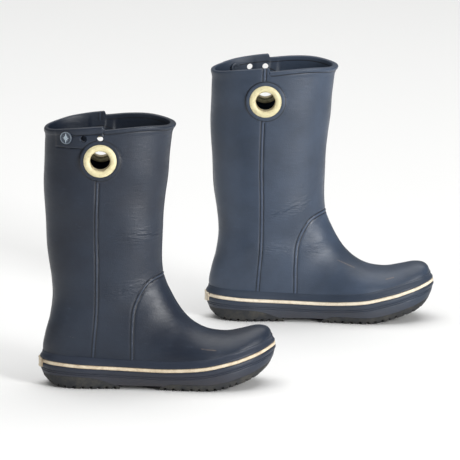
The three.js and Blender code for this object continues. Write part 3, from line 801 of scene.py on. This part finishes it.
low_rows = [(0.0, ("low", share)) for share in (0, 0.08, 0.2, 0.35, 0.5, 0.66, 0.82)]
side_rows = [(0.1, -12.0), (0.15, -11.2), (0.75, -10.6), (0.15, -9.9), (0.1, -9.5), (0.15, -9.1),
             (0.75, -8.5),
             (0.15, -7.8), (-0.15, -6.8), (-0.4, -5.4), (-0.4, -4.2), (-0.15, -3.1), (0.25, -2.4),
             (STRIPE_DEPTH, -2.3),
             (STRIPE_DEPTH, 2.3), (0.25, 2.4), (-0.15, 3.1), (-0.3, 4.6), (-0.3, 6.4), (-0.2, 8.2),
             (-0.1, 9.4),
             (0.0, 10.2), (0.1, 10.7), (0.35, 11.1), (0.9, 11.4), (2.2, 11.5)]


def sole_solid(name, rows, lift, side):
    """A closed body of rings round the sole, its underside and top gridded straight across the boot."""
    rings = []
    for inset, height in rows:
        hug = float(smooth(3.5, 10.5, height[1])) if height[0] == "rise" else 0.0
        rings.append(sole_ring(inset, height, lift, hug))
    count = len(rings[0])
    points = np.concatenate(rings)
    index = np.arange(len(points)).reshape(len(rings), count)
    faces = ring_quads(len(rings), count)
    extra, base = [], len(points)
    steps = 8
    for row, turn in ((0, True), (len(rings) - 1, False)):
        ring = rings[row]
        columns = [[int(index[row][0])] * (steps + 1)]
        for k in range(1, count // 2):
            a, b = ring[k], ring[count - k]
            inner = [base + len(extra) + s for s in range(steps - 1)]
            extra.extend(a + (b - a) * (s / steps) for s in range(1, steps))
            columns.append([int(index[row][k])] + inner + [int(index[row][count - k])])
        columns.append([int(index[row][count // 2])] * (steps + 1))
        for first, second in zip(columns[:-1], columns[1:]):
            for s in range(steps):
                corners = [first[s], first[s + 1], second[s + 1], second[s]]
                face = tuple(dict.fromkeys(corners if turn else corners[::-1]))
                if len(face) > 2:
                    faces.append(face)
    return add_piece(name, np.concatenate([points, extra]), faces, side)


def across_boot(name, outline, side, half_width=80.0):
    """A solid between side view outlines, right across the boot."""
    count = len(outline)
    points = [(x, y, z) for y in (-half_width, half_width) for x, z in outline]
    faces = [tuple(range(count)), tuple(range(2 * count - 1, count - 1, -1))]
    faces += [(k, k + count, (k + 1) % count + count, (k + 1) % count) for k in range(count)]
    return add_piece(name, points, faces, side)


def fine_curve(curve, step=3.0):
    curve = np.array(curve, float)
    xs = np.arange(curve[0, 0], curve[-1, 0], step)
    heights = curve_height(curve, xs)
    return [[x, z] for x, z in zip(xs, heights)] + [list(curve[-1])]


def tread_space(top_curve, gap, side):
    top = fine_curve(top_curve)
    top = [[x, z + gap] for x, z in top]
    top[0][0] -= gap
    top[-1][0] += gap
    below = [[top[-1][0], -TREAD_DEPTH], [top[0][0], -TREAD_DEPTH]]
    return across_boot("tread_space", top + below, side)


plain_rows = low_rows + [(0.0, ("rise", rise)) for rise in (-12, -8, -4, 0, 4, 8, 11.5)]


def tread_core(gap, side):
    rows = [(inset + TREAD_WALL + gap, height) for inset, height in plain_rows]
    return sole_solid("tread_core", rows, TREAD_DEPTH + gap, side)


def midsole_mesh(side):
    rows = low_rows + [(inset, ("rise", rise)) for inset, rise in side_rows]
    midsole = sole_solid(side + "_cup_sole", rows, 0.0, side)
    for curve in (HEEL_TREAD_TOP, FORE_TREAD_TOP):
        hollow = combine(tread_space(curve, SOLE_GAP, side), tread_core(SOLE_GAP, side))
        combine(midsole, hollow)
    combine(midsole, across_boot("arch", ARCH, side))
    rings = section_rings(even_rows(0, 15, 140), np.linspace(0, 2 * math.pi, 200, endpoint=False),
                          -SOLE_GAP, -SOLE_GAP)
    combine(midsole, loft_piece("foot_space", rings, side))
    return midsole


def worn_sole_foam(name, dark, light, seed):
    """The cup sole's EVA: as the upper's, but smoother and scuffed, with dust low down."""
    material, tree, shader = new_material(name)
    place = object_place(tree)
    shifted = mapped(tree, place, Location=(seed, 0, 0))
    cloud = noise(tree, shifted, 30.0, 4.0)
    base = blend(tree, cloud, linear(dark), linear(light))
    long = mapped(tree, shifted, Scale=(0.35, 1.0, 2.2))
    scuff = noise(tree, long, 160.0, 7.0, 0.75)
    scuffed = spread(tree, scuff, 0.64, 0.78, 0.0, 0.75)
    worn = blend(tree, scuffed, base, linear("6f6a66"))
    height = node(tree, "ShaderNodeSeparateXYZ", Vector=place).outputs["Z"]
    low = spread(tree, height, 0.03, 0.004, 0.0, 0.55)
    patchy = maths(tree, "MULTIPLY", low, scuff)
    dusty = blend(tree, patchy, worn, linear("5b5044"))
    rough = spread(tree, scuff, 0.3, 0.75, 0.4, 0.62)
    fill(tree, shader, Base_Color=dusty, Roughness=rough, IOR=1.46)
    grain = noise(tree, shifted, 900.0, 3.0)
    first = bumped(tree, grain, 0.25, 0.00015)
    second = bumped(tree, scuff, 0.3, 0.0003, first)
    fill(tree, shader, Normal=second)
    return material


# The left cup sole is painted lighter than the right, as the left upper is: painted light on the same navy
# foam.
sole_looks = {"right": ("1a2230", "242d3d", 0.0), "left": ("232c3a", "303b4b", 2.3)}
for side, look in sole_looks.items():
    foam = worn_sole_foam(f"scuffed EVA cup sole, {side}", *look)
    finish_piece(midsole_mesh(side), foam, side, "navy_foam", side + "_midsole", sharp=50)

# ---- Stripes and heel labels ----
# A cream EVA band pressed into a groove right round each sole, and a cream patch glued over it at the heel.
# Both have yellowed and taken on brown dirt, most of it along their edges.

STRIPE_PROUD = 0.2
LABEL_HALF_WIDTH, LABEL_HALF_HEIGHT = 15.0, 5.5
LABEL_DROP = 3.0
LABEL_THICKNESS = 3.0
LABEL_ROUNDING = 0.42
HEEL_END = 22.0  # the part of the sole's outline that counts as the heel


def edge_attribute(piece, side, measure):
    """Stores a value from 0 to 1 for each point, worked out from the boot's own coordinates."""
    origin, mirror = boot_origin(side)
    points = np.empty(len(piece.data.vertices) * 3)
    piece.data.vertices.foreach_get("co", points)
    own = (points.reshape(-1, 3) - origin) / MM * np.array([1, mirror, 1])
    attribute = piece.data.attributes.new("grime", "FLOAT", "POINT")
    attribute.data.foreach_set("value", np.clip(measure(own), 0, 1).astype(np.float32))


def stripe_mesh(side):
    half = STRIPE_HALF - 0.15
    section = [(STRIPE_DEPTH - 0.2, -half), (0.5, -half), (0.1, -half + 0.15), (-STRIPE_PROUD, -half + 0.6),
               (-STRIPE_PROUD - 0.15, 0), (-STRIPE_PROUD, half - 0.6), (0.1, half - 0.15), (0.5, half),
               (STRIPE_DEPTH - 0.2, half)]
    rings = np.array([sole_ring(inset, ("rise", rise)) for inset, rise in section])
    faces = ring_quads(*rings.shape[:2], closed=True)
    stripe = add_piece(side + "_sole_stripe", rings.reshape(-1, 3), faces, side)
    behind = [[-20, 0], [-20, 60], [20, 60], [20, 0]]
    combine(stripe, across_boot("label_space", behind, side, LABEL_HALF_WIDTH + 0.3))
    edge_attribute(stripe, side,
                   lambda p: smooth(1.1, 2.1, np.abs(p[:, 2] - curve_height(STRIPE_CURVE, p[:, 0]))))
    return stripe


def heel_point(across, rise, proud):
    """A point over the back of the heel, in a boot's own frame."""
    heel = outline_points[:, 0] < HEEL_END
    order = np.argsort(outline_points[heel][:, 1])
    ys, xs = outline_points[heel][order, 1], outline_points[heel][order, 0]
    normals = outline_outward[heel][order]
    x = np.interp(across, ys, xs)
    outward = np.stack([np.interp(across, ys, normals[:, k]) for k in (0, 1)], axis=-1)
    place = np.stack([x, across], axis=-1) + outward * proud[..., None]
    return np.concatenate([place, (curve_height(STRIPE_CURVE, x) + rise)[..., None]], axis=-1)


def label_mesh(side):
    turn = np.linspace(0, 2 * math.pi, 72, endpoint=False)
    c, s = np.cos(turn), np.sin(turn)
    round_x = np.sign(c) * np.abs(c) ** LABEL_ROUNDING
    round_y = np.sign(s) * np.abs(s) ** LABEL_ROUNDING
    rings = []
    deep = LABEL_PROUD - LABEL_THICKNESS
    for share, proud in ((0.02, deep), (0.5, deep), (0.98, deep), (1.0, deep + 0.3),
                         (1.0, LABEL_PROUD - 0.5), (0.985, LABEL_PROUD - 0.2),
                         (0.95, LABEL_PROUD), (0.87, LABEL_PROUD), (0.85, LABEL_PROUD - 0.35),
                         (0.8, LABEL_PROUD - 0.45), (0.5, LABEL_PROUD - 0.4), (0.02, LABEL_PROUD - 0.4)):
        across = round_x * LABEL_HALF_WIDTH * share
        rise = -LABEL_DROP + round_y * LABEL_HALF_HEIGHT * share
        rings.append(heel_point(across, rise, np.full(len(turn), float(proud))))
    label = loft_piece(side + "_heel_patch", np.array(rings), side)
    edge_attribute(label, side, lambda p: smooth(9, 15, np.abs(p[:, 1])) * 0.7 + 0.15)
    return label


def grubby_cream(name, clean, yellowed, dirt_and_shade, amount, roughness, scale=1.0):
    """Cream EVA or plastic, unevenly yellowed, with brown where a stored mask and a fine noise meet: dirt,
    and on the eyelets painted shade inside the tubes.
    """
    material, tree, shader = new_material(name)
    place = object_place(tree)
    cloud = noise(tree, place, 45.0 * scale, 3.0)
    base = blend(tree, cloud, linear(clean), linear(yellowed))
    speck = noise(tree, place, 210.0 * scale, 6.0, 0.7)
    grime = stored(tree, "grime")
    reach = maths(tree, "MULTIPLY_ADD", grime, 0.32, speck)
    dirt_and_shade_share = spread(tree, reach, 0.52, 0.82, 0.0, amount)
    final = blend(tree, dirt_and_shade_share, base, linear(dirt_and_shade))
    rough = spread(tree, speck, 0.3, 0.7, roughness, roughness + 0.2)
    fill(tree, shader, Base_Color=final, Roughness=rough, IOR=1.49)
    fill(tree, shader, Normal=bumped(tree, speck, 0.2, 0.0002))
    return material


cream_bands = {
    "right": grubby_cream("yellowed cream EVA band", "ded3bf", "cfbd9c", "86694a", 0.6, 0.5, 0.6),
    "left": grubby_cream("cleaner cream EVA band", "ebe3d3", "dccdb2", "8d7355", 0.45, 0.5, 0.6),
}
for side, cream_band in cream_bands.items():
    finish_piece(stripe_mesh(side), cream_band, side, "cream_stripe", side + "_stripe", sharp=60)
    finish_piece(label_mesh(side), cream_band, side, "cream_stripe", side + "_heel_label", sharp=60)

# ---- Treads ----
# Dark rubber outsoles under heel and forefoot, moulded round the midsole's core.
# Wavy channels cut each into lugs; the rubber is dull, greyed by dust in patches, with brown specks.

CHANNEL_SPACING = 9.5
CHANNEL_WIDTH = 3.2
CHANNEL_DEPTH = 3.6
WAVE_LENGTH = 13.0
WAVE_HEIGHT = 2.0
CHANNEL_LENGTH = 140.0  # right across the boot and out of both sides
CHANNEL_STEPS = 90
TREADS = {"heel_tread": (HEEL_TREAD_TOP, 14.0, 94.0), "forefoot_tread": (FORE_TREAD_TOP, 154.0, 274.0)}


def new_form(name, labels, objects=()):
    """A geometry tree with named number and object inputs, and its input sockets."""
    tree = bpy.data.node_groups.new(name, "GeometryNodeTree")
    sockets = [("Geometry", "Geometry")] + [(label, "Float") for label in labels]
    sockets += [(label, "Object") for label in objects] + [("Material", "Material")]
    for label, kind in sockets:
        tree.interface.new_socket(label, in_out="INPUT", socket_type="NodeSocket" + kind)
    tree.interface.new_socket("Geometry", in_out="OUTPUT", socket_type="NodeSocketGeometry")
    return tree, node(tree, "NodeGroupInput").outputs


def end_form(tree, geometry, material):
    """Ends a tree with real geometry that has its material."""
    whole = node(tree, "GeometryNodeRealizeInstances", Geometry=geometry).outputs[0]
    done = node(tree, "GeometryNodeSetMaterial", Geometry=whole, Material=material).outputs[0]
    node(tree, "NodeGroupOutput", Geometry=done)
    return tree


def channel_tree():
    """Cuts evenly spaced wavy channels across a tread, each at the ground curve's height there."""
    labels = ("Start", "End", "Spacing", "Width", "Depth", "Wave Length", "Wave Height", "Middle")
    tree, group = new_form("wavy_tread_channels", labels, ("Heights",))
    span = maths(tree, "SUBTRACT", group["End"], group["Start"])
    count = maths(tree, "DIVIDE", span, group["Spacing"])
    count = maths(tree, "ADD", count, 1.0)
    first = node(tree, "ShaderNodeCombineXYZ", X=group["Start"], Y=group["Middle"]).outputs[0]
    step = node(tree, "ShaderNodeCombineXYZ", X=group["Spacing"]).outputs[0]
    places = node(tree, "GeometryNodeMeshLine", {"mode": "OFFSET"}, Count=count, Start_Location=first,
                  Offset=step).outputs[0]
    # each place rises to the ground curve, which is given as a thin sheet
    ground = node(tree, "GeometryNodeObjectInfo", Object=group["Heights"]).outputs["Geometry"]
    up = node(tree, "GeometryNodeRaycast", Target_Geometry=ground, Ray_Direction=(0, 0, 1), Ray_Length=1.0)
    places = node(tree, "GeometryNodeSetPosition", Geometry=places, Selection=up.outputs["Is Hit"],
                  Position=up.outputs["Hit Position"]).outputs[0]
    # one channel: a bar along y whose x waves, as far above the ground curve as below it
    bar = node(tree, "GeometryNodeMeshCube", Vertices_X=2, Vertices_Y=CHANNEL_STEPS,
               Vertices_Z=2)
    size = maths(tree, "MULTIPLY", group["Depth"], 2.0)
    extent = node(tree, "ShaderNodeCombineXYZ", X=group["Width"], Y=CHANNEL_LENGTH * MM,
                  Z=size).outputs[0]
    tree.links.new(extent, bar.inputs["Size"])
    where = node(tree, "ShaderNodeSeparateXYZ",
                 Vector=node(tree, "GeometryNodeInputPosition").outputs[0]).outputs["Y"]
    turns = maths(tree, "DIVIDE", where, group["Wave Length"])
    angle = maths(tree, "MULTIPLY", turns, 2 * math.pi)
    sine = maths(tree, "SINE", angle)
    sway = maths(tree, "MULTIPLY", sine, group["Wave Height"])
    shift = node(tree, "ShaderNodeCombineXYZ", X=sway).outputs[0]
    wavy = node(tree, "GeometryNodeSetPosition", Geometry=bar.outputs["Mesh"], Offset=shift).outputs[0]
    channels = node(tree, "GeometryNodeInstanceOnPoints", Points=places, Instance=wavy).outputs[0]
    solid = node(tree, "GeometryNodeRealizeInstances", Geometry=channels).outputs[0]
    cut = node(tree, "GeometryNodeMeshBoolean", {"operation": "DIFFERENCE", "solver": "MANIFOLD"})
    tree.links.new(group["Geometry"], cut.inputs["Mesh 1"])
    tree.links.new(solid, cut.inputs["Mesh 2"])
    return end_form(tree, cut.outputs["Mesh"], group["Material"])


def apply_tree(piece, tree, **values):
    """Gives a piece a geometry tree with the named inputs, and turns the result into a plain mesh."""
    modifier = piece.modifiers.new("form", "NODES")
    modifier.node_group = tree
    for item in tree.interface.items_tree:
        if item.in_out == "INPUT" and item.name.replace(" ", "_") in values:
            modifier[item.identifier] = values[item.name.replace(" ", "_")]
    made = bpy.data.meshes.new_from_object(piece.evaluated_get(bpy.context.evaluated_depsgraph_get()))
    piece.modifiers.remove(modifier)
    made.name = piece.name
    piece.data = made
    return piece


def tread_rubber():
    """Moulded rubber outsole: dull olive black, greyed by dust in patches, with a fine pitted skin."""
    material, tree, shader = new_material("dusty moulded rubber")
    place = object_place(tree)
    dust = noise(tree, place, 70.0, 6.0, 0.65)
    dusty = spread(tree, dust, 0.45, 0.72, 0.0, 0.6)
    base = blend(tree, dusty, linear("25272a"), linear("4e4b43"))
    speck = noise(tree, place, 420.0, 5.0, 0.7)
    brown = spread(tree, speck, 0.6, 0.75, 0.0, 0.6)
    final = blend(tree, brown, base, linear("6b5a46"))
    fill(tree, shader, Base_Color=final, Roughness=0.78, IOR=1.52)
    fill(tree, shader, Normal=bumped(tree, speck, 0.4, 0.0003))
    return material


rubber = tread_rubber()
channels = channel_tree()
for side in BODIES:
    origin, mirror = boot_origin(side)
    for name, (top, start, end) in TREADS.items():
        rows = low_rows + [(0.0, ("rise", rise)) for rise in (-12, -9, -6, -2, 4, 11.5)]
        tread = sole_solid(f"{side}_{name.replace('_tread', '')}_rubber_tread", rows, 0.0, side)
        combine(tread, tread_space(top, 0.0, side), "INTERSECT")
        combine(tread, tread_core(0.0, side))
        xs = np.arange(start - 12, end + 14, 4.0)  # past the first and last channel
        heights = np.maximum(0, curve_height(GROUND_CURVE, xs))
        sheet_points = [(x, y, z) for x, z in zip(xs, heights) for y in (-5, 5)]
        sheet_faces = [(2 * k, 2 * k + 2, 2 * k + 3, 2 * k + 1) for k in range(len(xs) - 1)]
        ground = add_piece("ground_curve", sheet_points, sheet_faces, side)
        apply_tree(tread, channels, Start=float(origin[0] + start * MM), End=float(origin[0] + end * MM),
                   Spacing=CHANNEL_SPACING * MM, Width=CHANNEL_WIDTH * MM, Depth=CHANNEL_DEPTH * MM,
                   Wave_Length=WAVE_LENGTH * MM, Wave_Height=WAVE_HEIGHT * MM, Middle=float(origin[1]),
                   Heights=ground, Material=rubber)
        bpy.data.objects.remove(ground)
        finish_piece(tread, rubber, side, "dark_rubber", f"{side}_{name}", sharp=40)

# ---- Pull rings and their retainers ----
# Cream polypropylene eyelets, one through each side of the shaft: the flange sits in a recess and the tube
# passes inside, where a washer snaps on behind the wall. The brown on the tubes' inner walls is painted
# shade in the bore.

RING_HOLE, RING_TUBE, RING_FLANGE = 12.0, 14.0, 20.0
RETAINER_RADIUS, RETAINER_THICKNESS = 19.0, 2.2


def rounded(profile, radius, steps=5):
    """A closed profile with its corners rounded."""
    made = []
    count = len(profile)
    for k in range(count):
        before, corner, after = (np.array(profile[(k + d) % count], float) for d in (-1, 0, 1))
        one, two = before - corner, after - corner
        reach = min(radius, np.linalg.norm(one) * 0.45, np.linalg.norm(two) * 0.45)
        start, end = corner + one / np.linalg.norm(one) * reach, corner + two / np.linalg.norm(two) * reach
        for s in np.linspace(0, 1, steps):
            made.append(tuple((1 - s) ** 2 * start + 2 * s * (1 - s) * corner + s * s * end))
    return made


# Brown dirt specks all over, and brown painted shade where the mask marks the tubes' inner walls.
cream_plastic = grubby_cream("yellowed cream polypropylene", "dcd3ad", "d0c598", "6b5636", 0.6, 0.36, 1.0)
for side in BODIES:
    outside, inside = seat_levels(side)
    back = outside - RECESS_DEPTH + RING_GAP
    face = back + RING_FACE
    tail = inside - RETAINER_THICKNESS - 2 * RING_GAP
    for facing, where in ((-1, "outer"), (1, "inner")):
        eyelet = [(RING_HOLE, tail), (RING_TUBE, tail), (RING_TUBE, back), (RING_FLANGE, back),
                  (RING_FLANGE, face - 1.4), (RING_FLANGE - 3.2, face), (RING_HOLE + 2.6, face - 0.1),
                  (RING_HOLE, face - 1.6)]
        ring = spun_piece(f"{side}_{where}_cream_eyelet", rounded(eyelet, 0.9), (RING_X, 0, RING_Z),
                          (0, facing, 0), side, 128, True)
        # The mask marks each tube's inner wall near the hole, for the brown painted shade in the bore.
        edge_attribute(ring, side,
                       lambda p: smooth(RING_HOLE + 1.6, RING_HOLE + 0.2, on_ring(p[:, 0], p[:, 2]))
                       * smooth(back + RING_FACE, back + 1.0, np.abs(p[:, 1])))
        finish_piece(ring, cream_plastic, side, "cream_plastic", f"{side}_{where}_pull_ring", sharp=80)
        washer = [(RING_TUBE + RING_GAP, inside - RING_GAP - RETAINER_THICKNESS),
                  (RETAINER_RADIUS, inside - RING_GAP - RETAINER_THICKNESS),
                  (RETAINER_RADIUS, inside - RING_GAP), (RING_TUBE + RING_GAP, inside - RING_GAP)]
        washer = spun_piece(f"{side}_{where}_eyelet_washer", rounded(washer, 0.5), (RING_X, 0, RING_Z),
                            (0, facing, 0), side, 96, True)
        edge_attribute(washer, side,
                       lambda p: smooth(RETAINER_RADIUS - 2, RETAINER_RADIUS, on_ring(p[:, 0], p[:, 2])))
        finish_piece(washer, cream_plastic, side, "cream_plastic", f"{side}_{where}_ring_retainer",
                     sharp=80)

# ---- Badges ----
# A round rivet-like button with a raised rim and a plain compass star, free to turn on its shank,
# which passes through the wall into a cap. It is blue-grey ABS, paler on its rubbed relief.

SHANK_RADIUS = 2.5
CAP_RADIUS, CAP_THICKNESS = 6.0, 1.6
PAD_INSIDE = -WALL - BADGE_SEAT - 0.4
# Points of the star: their reach, how far out their edges meet, how many, and the first one's angle.
STAR_POINTS = [(5.9, 1.9, 2, math.pi / 2), (4.3, 1.9, 2, 0.0), (3.7, 1.3, 4, math.pi / 4)]


def star_height(radius, angle):
    """Relief of the badge's face: a raised rim, a sunk field and a compass star, in millimetres."""
    height = 0.3 * smooth(6.2, 6.6, radius)
    for reach, waist, count, first in STAR_POINTS:
        apart = 2 * math.pi / count
        away = np.minimum(np.abs((angle - first + apart / 2) % apart - apart / 2), math.pi / 4)
        inset = waist * math.sqrt(0.5)
        edge = reach * inset / (inset * np.cos(away) + (reach - inset) * np.sin(away))
        height = np.maximum(height, smooth(0.2, -0.2, radius - edge) * (0.6 - 0.2 * away / (math.pi / 4)))
    return height


def badge_mesh(side):
    place, axis = wall_at(BADGE_X, FIXING_Z, -1)
    under, sides = BADGE_SEAT + RING_GAP, 96
    top = under + 2.2
    tail = PAD_INSIDE - CAP_THICKNESS - 2 * RING_GAP
    profile = [(SHANK_RADIUS, tail), (SHANK_RADIUS, under), (BADGE_RADIUS - 0.3, under),
               (BADGE_RADIUS, under + 0.3), (BADGE_RADIUS, top - 0.9),
               (BADGE_RADIUS - 0.15, top - 0.45), (BADGE_RADIUS - 0.5, top - 0.1)]
    face = np.linspace(BADGE_RADIUS - 0.9, 0.15, 34)
    rings = spun_points(profile + [(radius, top - 0.55) for radius in face], place, axis, sides)
    turn = np.linspace(0, 2 * math.pi, sides, endpoint=False)
    for k, radius in enumerate(face):
        rings[len(profile) + k] += axis * star_height(radius, turn)[:, None]
    badge = loft_piece(side + "_star_badge", rings, side)

    def raised(own):
        out = (own - place) @ axis
        from_axis = np.linalg.norm(own - place - out[:, None] * axis, axis=1)
        return smooth(top - 0.45, top - 0.2, out) * (1 - 0.55 * smooth(6.1, 6.5, from_axis))

    edge_attribute(badge, side, raised)
    return badge, place, axis


def button_plastic():
    """Moulded ABS button: satin blue-grey, its raised rim and star rubbed paler than the sunk field."""
    material, tree, shader = new_material("blue-grey moulded ABS")
    place = object_place(tree)
    raised = stored(tree, "grime")
    rub = noise(tree, place, 900.0, 4.0)
    pale = spread(tree, rub, 0.25, 0.6, 0.6, 1.0)
    amount = maths(tree, "MULTIPLY", raised, pale)
    final = blend(tree, amount, linear("39424f"), linear("a9b7c2"))
    fill(tree, shader, Base_Color=final, Roughness=0.36, IOR=1.53)
    fill(tree, shader, Normal=bumped(tree, rub, 0.15, 0.0001))
    return material


abs_button = button_plastic()
for side in BODIES:
    badge, place, axis = badge_mesh(side)
    finish_piece(badge, abs_button, side, "badge_plastic", side + "_badge", body=side + "_badge", sharp=50)
    hole = SHANK_RADIUS + RING_GAP
    seat = PAD_INSIDE - RING_GAP
    cap = rounded([(hole, seat - CAP_THICKNESS), (CAP_RADIUS, seat - CAP_THICKNESS), (CAP_RADIUS, seat),
                   (hole, seat)], 0.5)
    cap = spun_piece(side + "_badge_snap_cap", cap, place, axis, side, 64, True)
    finish_piece(cap, abs_button, side, "badge_plastic", side + "_badge_cap", body=side + "_badge",
                 sharp=80)

# ---- Insoles ----
# Loose moulded footbeds of soft EVA that lie on the floor of each upper. The top is dished for the foot and
# covered in small round nubs; it is darker and greyer than the boot, and dusty in patches.

INSOLE_THICKNESS = 4.5
NUB_SPACING = 9.0
NUB_RADIUS = 1.6
NUB_LENGTH, NUB_WIDTH, NUB_MIDDLE = 270.0, 100.0, 140.0  # the grid of nubs, and the x of its middle
INSOLE_GAP = 0.3
DISH = 1.3  # how far the footbed rises at 45 mm from its middle
DISH_DROP = 0.7


def nub_tree():
    """Scatters an even grid of low round nubs over the upward faces of a footbed."""
    labels = ("Spacing", "Radius", "Length", "Width", "Middle X", "Middle Y")
    tree, group = new_form("footbed_nubs", labels)
    across = maths(tree, "DIVIDE", group["Width"], group["Spacing"])
    along = maths(tree, "DIVIDE", group["Length"], group["Spacing"])
    grid = node(tree, "GeometryNodeMeshGrid", Size_X=group["Length"], Size_Y=group["Width"],
                Vertices_X=along, Vertices_Y=across)
    middle = node(tree, "ShaderNodeCombineXYZ", X=group["Middle X"], Y=group["Middle Y"], Z=1.0).outputs[0]
    lifted = node(tree, "GeometryNodeSetPosition", Geometry=grid.outputs["Mesh"], Offset=middle).outputs[0]
    drop = node(tree, "GeometryNodeRaycast", Target_Geometry=group["Geometry"], Ray_Direction=(0, 0, -1),
                Ray_Length=2.0)
    up = node(tree, "ShaderNodeSeparateXYZ", Vector=drop.outputs["Hit Normal"]).outputs["Z"]
    flat = maths(tree, "GREATER_THAN", up, 0.75)
    hit = maths(tree, "MULTIPLY", drop.outputs["Is Hit"], flat)
    placed = node(tree, "GeometryNodeSetPosition", Geometry=lifted,
                  Position=drop.outputs["Hit Position"]).outputs[0]
    nub = node(tree, "GeometryNodeMeshIcoSphere", Radius=group["Radius"], Subdivisions=2).outputs["Mesh"]
    low = node(tree, "GeometryNodeTransform", Geometry=nub, Scale=(1, 1, 0.45)).outputs[0]
    nubs = node(tree, "GeometryNodeInstanceOnPoints", Points=placed, Selection=hit, Instance=low).outputs[0]
    real = node(tree, "GeometryNodeRealizeInstances", Geometry=nubs).outputs[0]
    both = node(tree, "GeometryNodeMeshBoolean", {"operation": "UNION", "solver": "MANIFOLD"})
    tree.links.new(group["Geometry"], both.inputs["Mesh 2"])
    tree.links.new(real, both.inputs["Mesh 2"])
    return end_form(tree, both.outputs["Mesh"], group["Material"])


def insole_mesh(side):
    rings = section_rings(even_rows(1, 12.5, 90), np.linspace(0, 2 * math.pi, 160, endpoint=False),
                          WALL + INSOLE_GAP, UPPER_FLOOR + INSOLE_GAP)
    insole = loft_piece(side + "_nubbed_insole", rings, side)
    xs = np.linspace(-5, 290, 90)
    ys = np.linspace(-70, 70, 41)
    floor_x, floor_z = UPPER_SECTIONS[:13, 2][::-1], UPPER_SECTIONS[:13, 3][::-1]
    bed = np.interp(xs, floor_x, floor_z) + UPPER_FLOOR + INSOLE_GAP + INSOLE_THICKNESS - DISH_DROP
    grid = [(x, y, z + DISH * (y / 45) ** 4 * (abs(y) < 60)) for x, z in zip(xs, bed) for y in ys]
    rows, columns = len(xs), len(ys)
    index = np.arange(rows * columns).reshape(rows, columns)
    top = [tuple(q) for q in np.stack([index[:-1, :-1], index[1:, :-1], index[1:, 1:], index[:-1, 1:]],
                                      axis=-1).reshape(-1, 4).tolist()]
    floor_grid = [(x, y, 0.0) for x, y, _ in grid]
    shift = rows * columns
    bottom = [tuple(i + shift for i in reversed(q)) for q in top]
    rim = list(index[:, 0]) + list(index[-1, 1:]) + list(index[::-1, -1][1:]) + list(index[0, ::-1][1:-1])
    walls = [(int(b), int(a), int(a) + shift, int(b) + shift) for a, b in zip(rim, rim[1:] + rim[:1])]
    combine(insole, add_piece("foot_bed", grid + floor_grid, top + bottom + walls, side), "INTERSECT")
    return insole


def footbed_foam():
    """Soft EVA footbed: charcoal, matt, with a fine even texture and pale dust trodden into it."""
    material, tree, shader = new_material("charcoal EVA footbed")
    place = object_place(tree)
    dust = noise(tree, place, 38.0, 5.0)
    dusty = spread(tree, dust, 0.45, 0.75, 0.0, 0.5)
    final = blend(tree, dusty, linear("22252c"), linear("4b4c50"))
    fill(tree, shader, Base_Color=final, Roughness=0.85, IOR=1.46)
    grain = noise(tree, place, 1100.0, 2.0)
    fill(tree, shader, Normal=bumped(tree, grain, 0.4, 0.0002))
    return material


footbed = footbed_foam()
nubs = nub_tree()
for side in BODIES:
    origin, mirror = boot_origin(side)
    insole = insole_mesh(side)
    apply_tree(insole, nubs, Spacing=NUB_SPACING * MM, Radius=NUB_RADIUS * MM, Length=NUB_LENGTH * MM,
               Width=NUB_WIDTH * MM, Middle_X=float(origin[0] + NUB_MIDDLE * MM), Middle_Y=float(origin[1]),
               Material=footbed)
    finish_piece(insole, footbed, side, "insole_foam", side + "_insole", sharp=40)
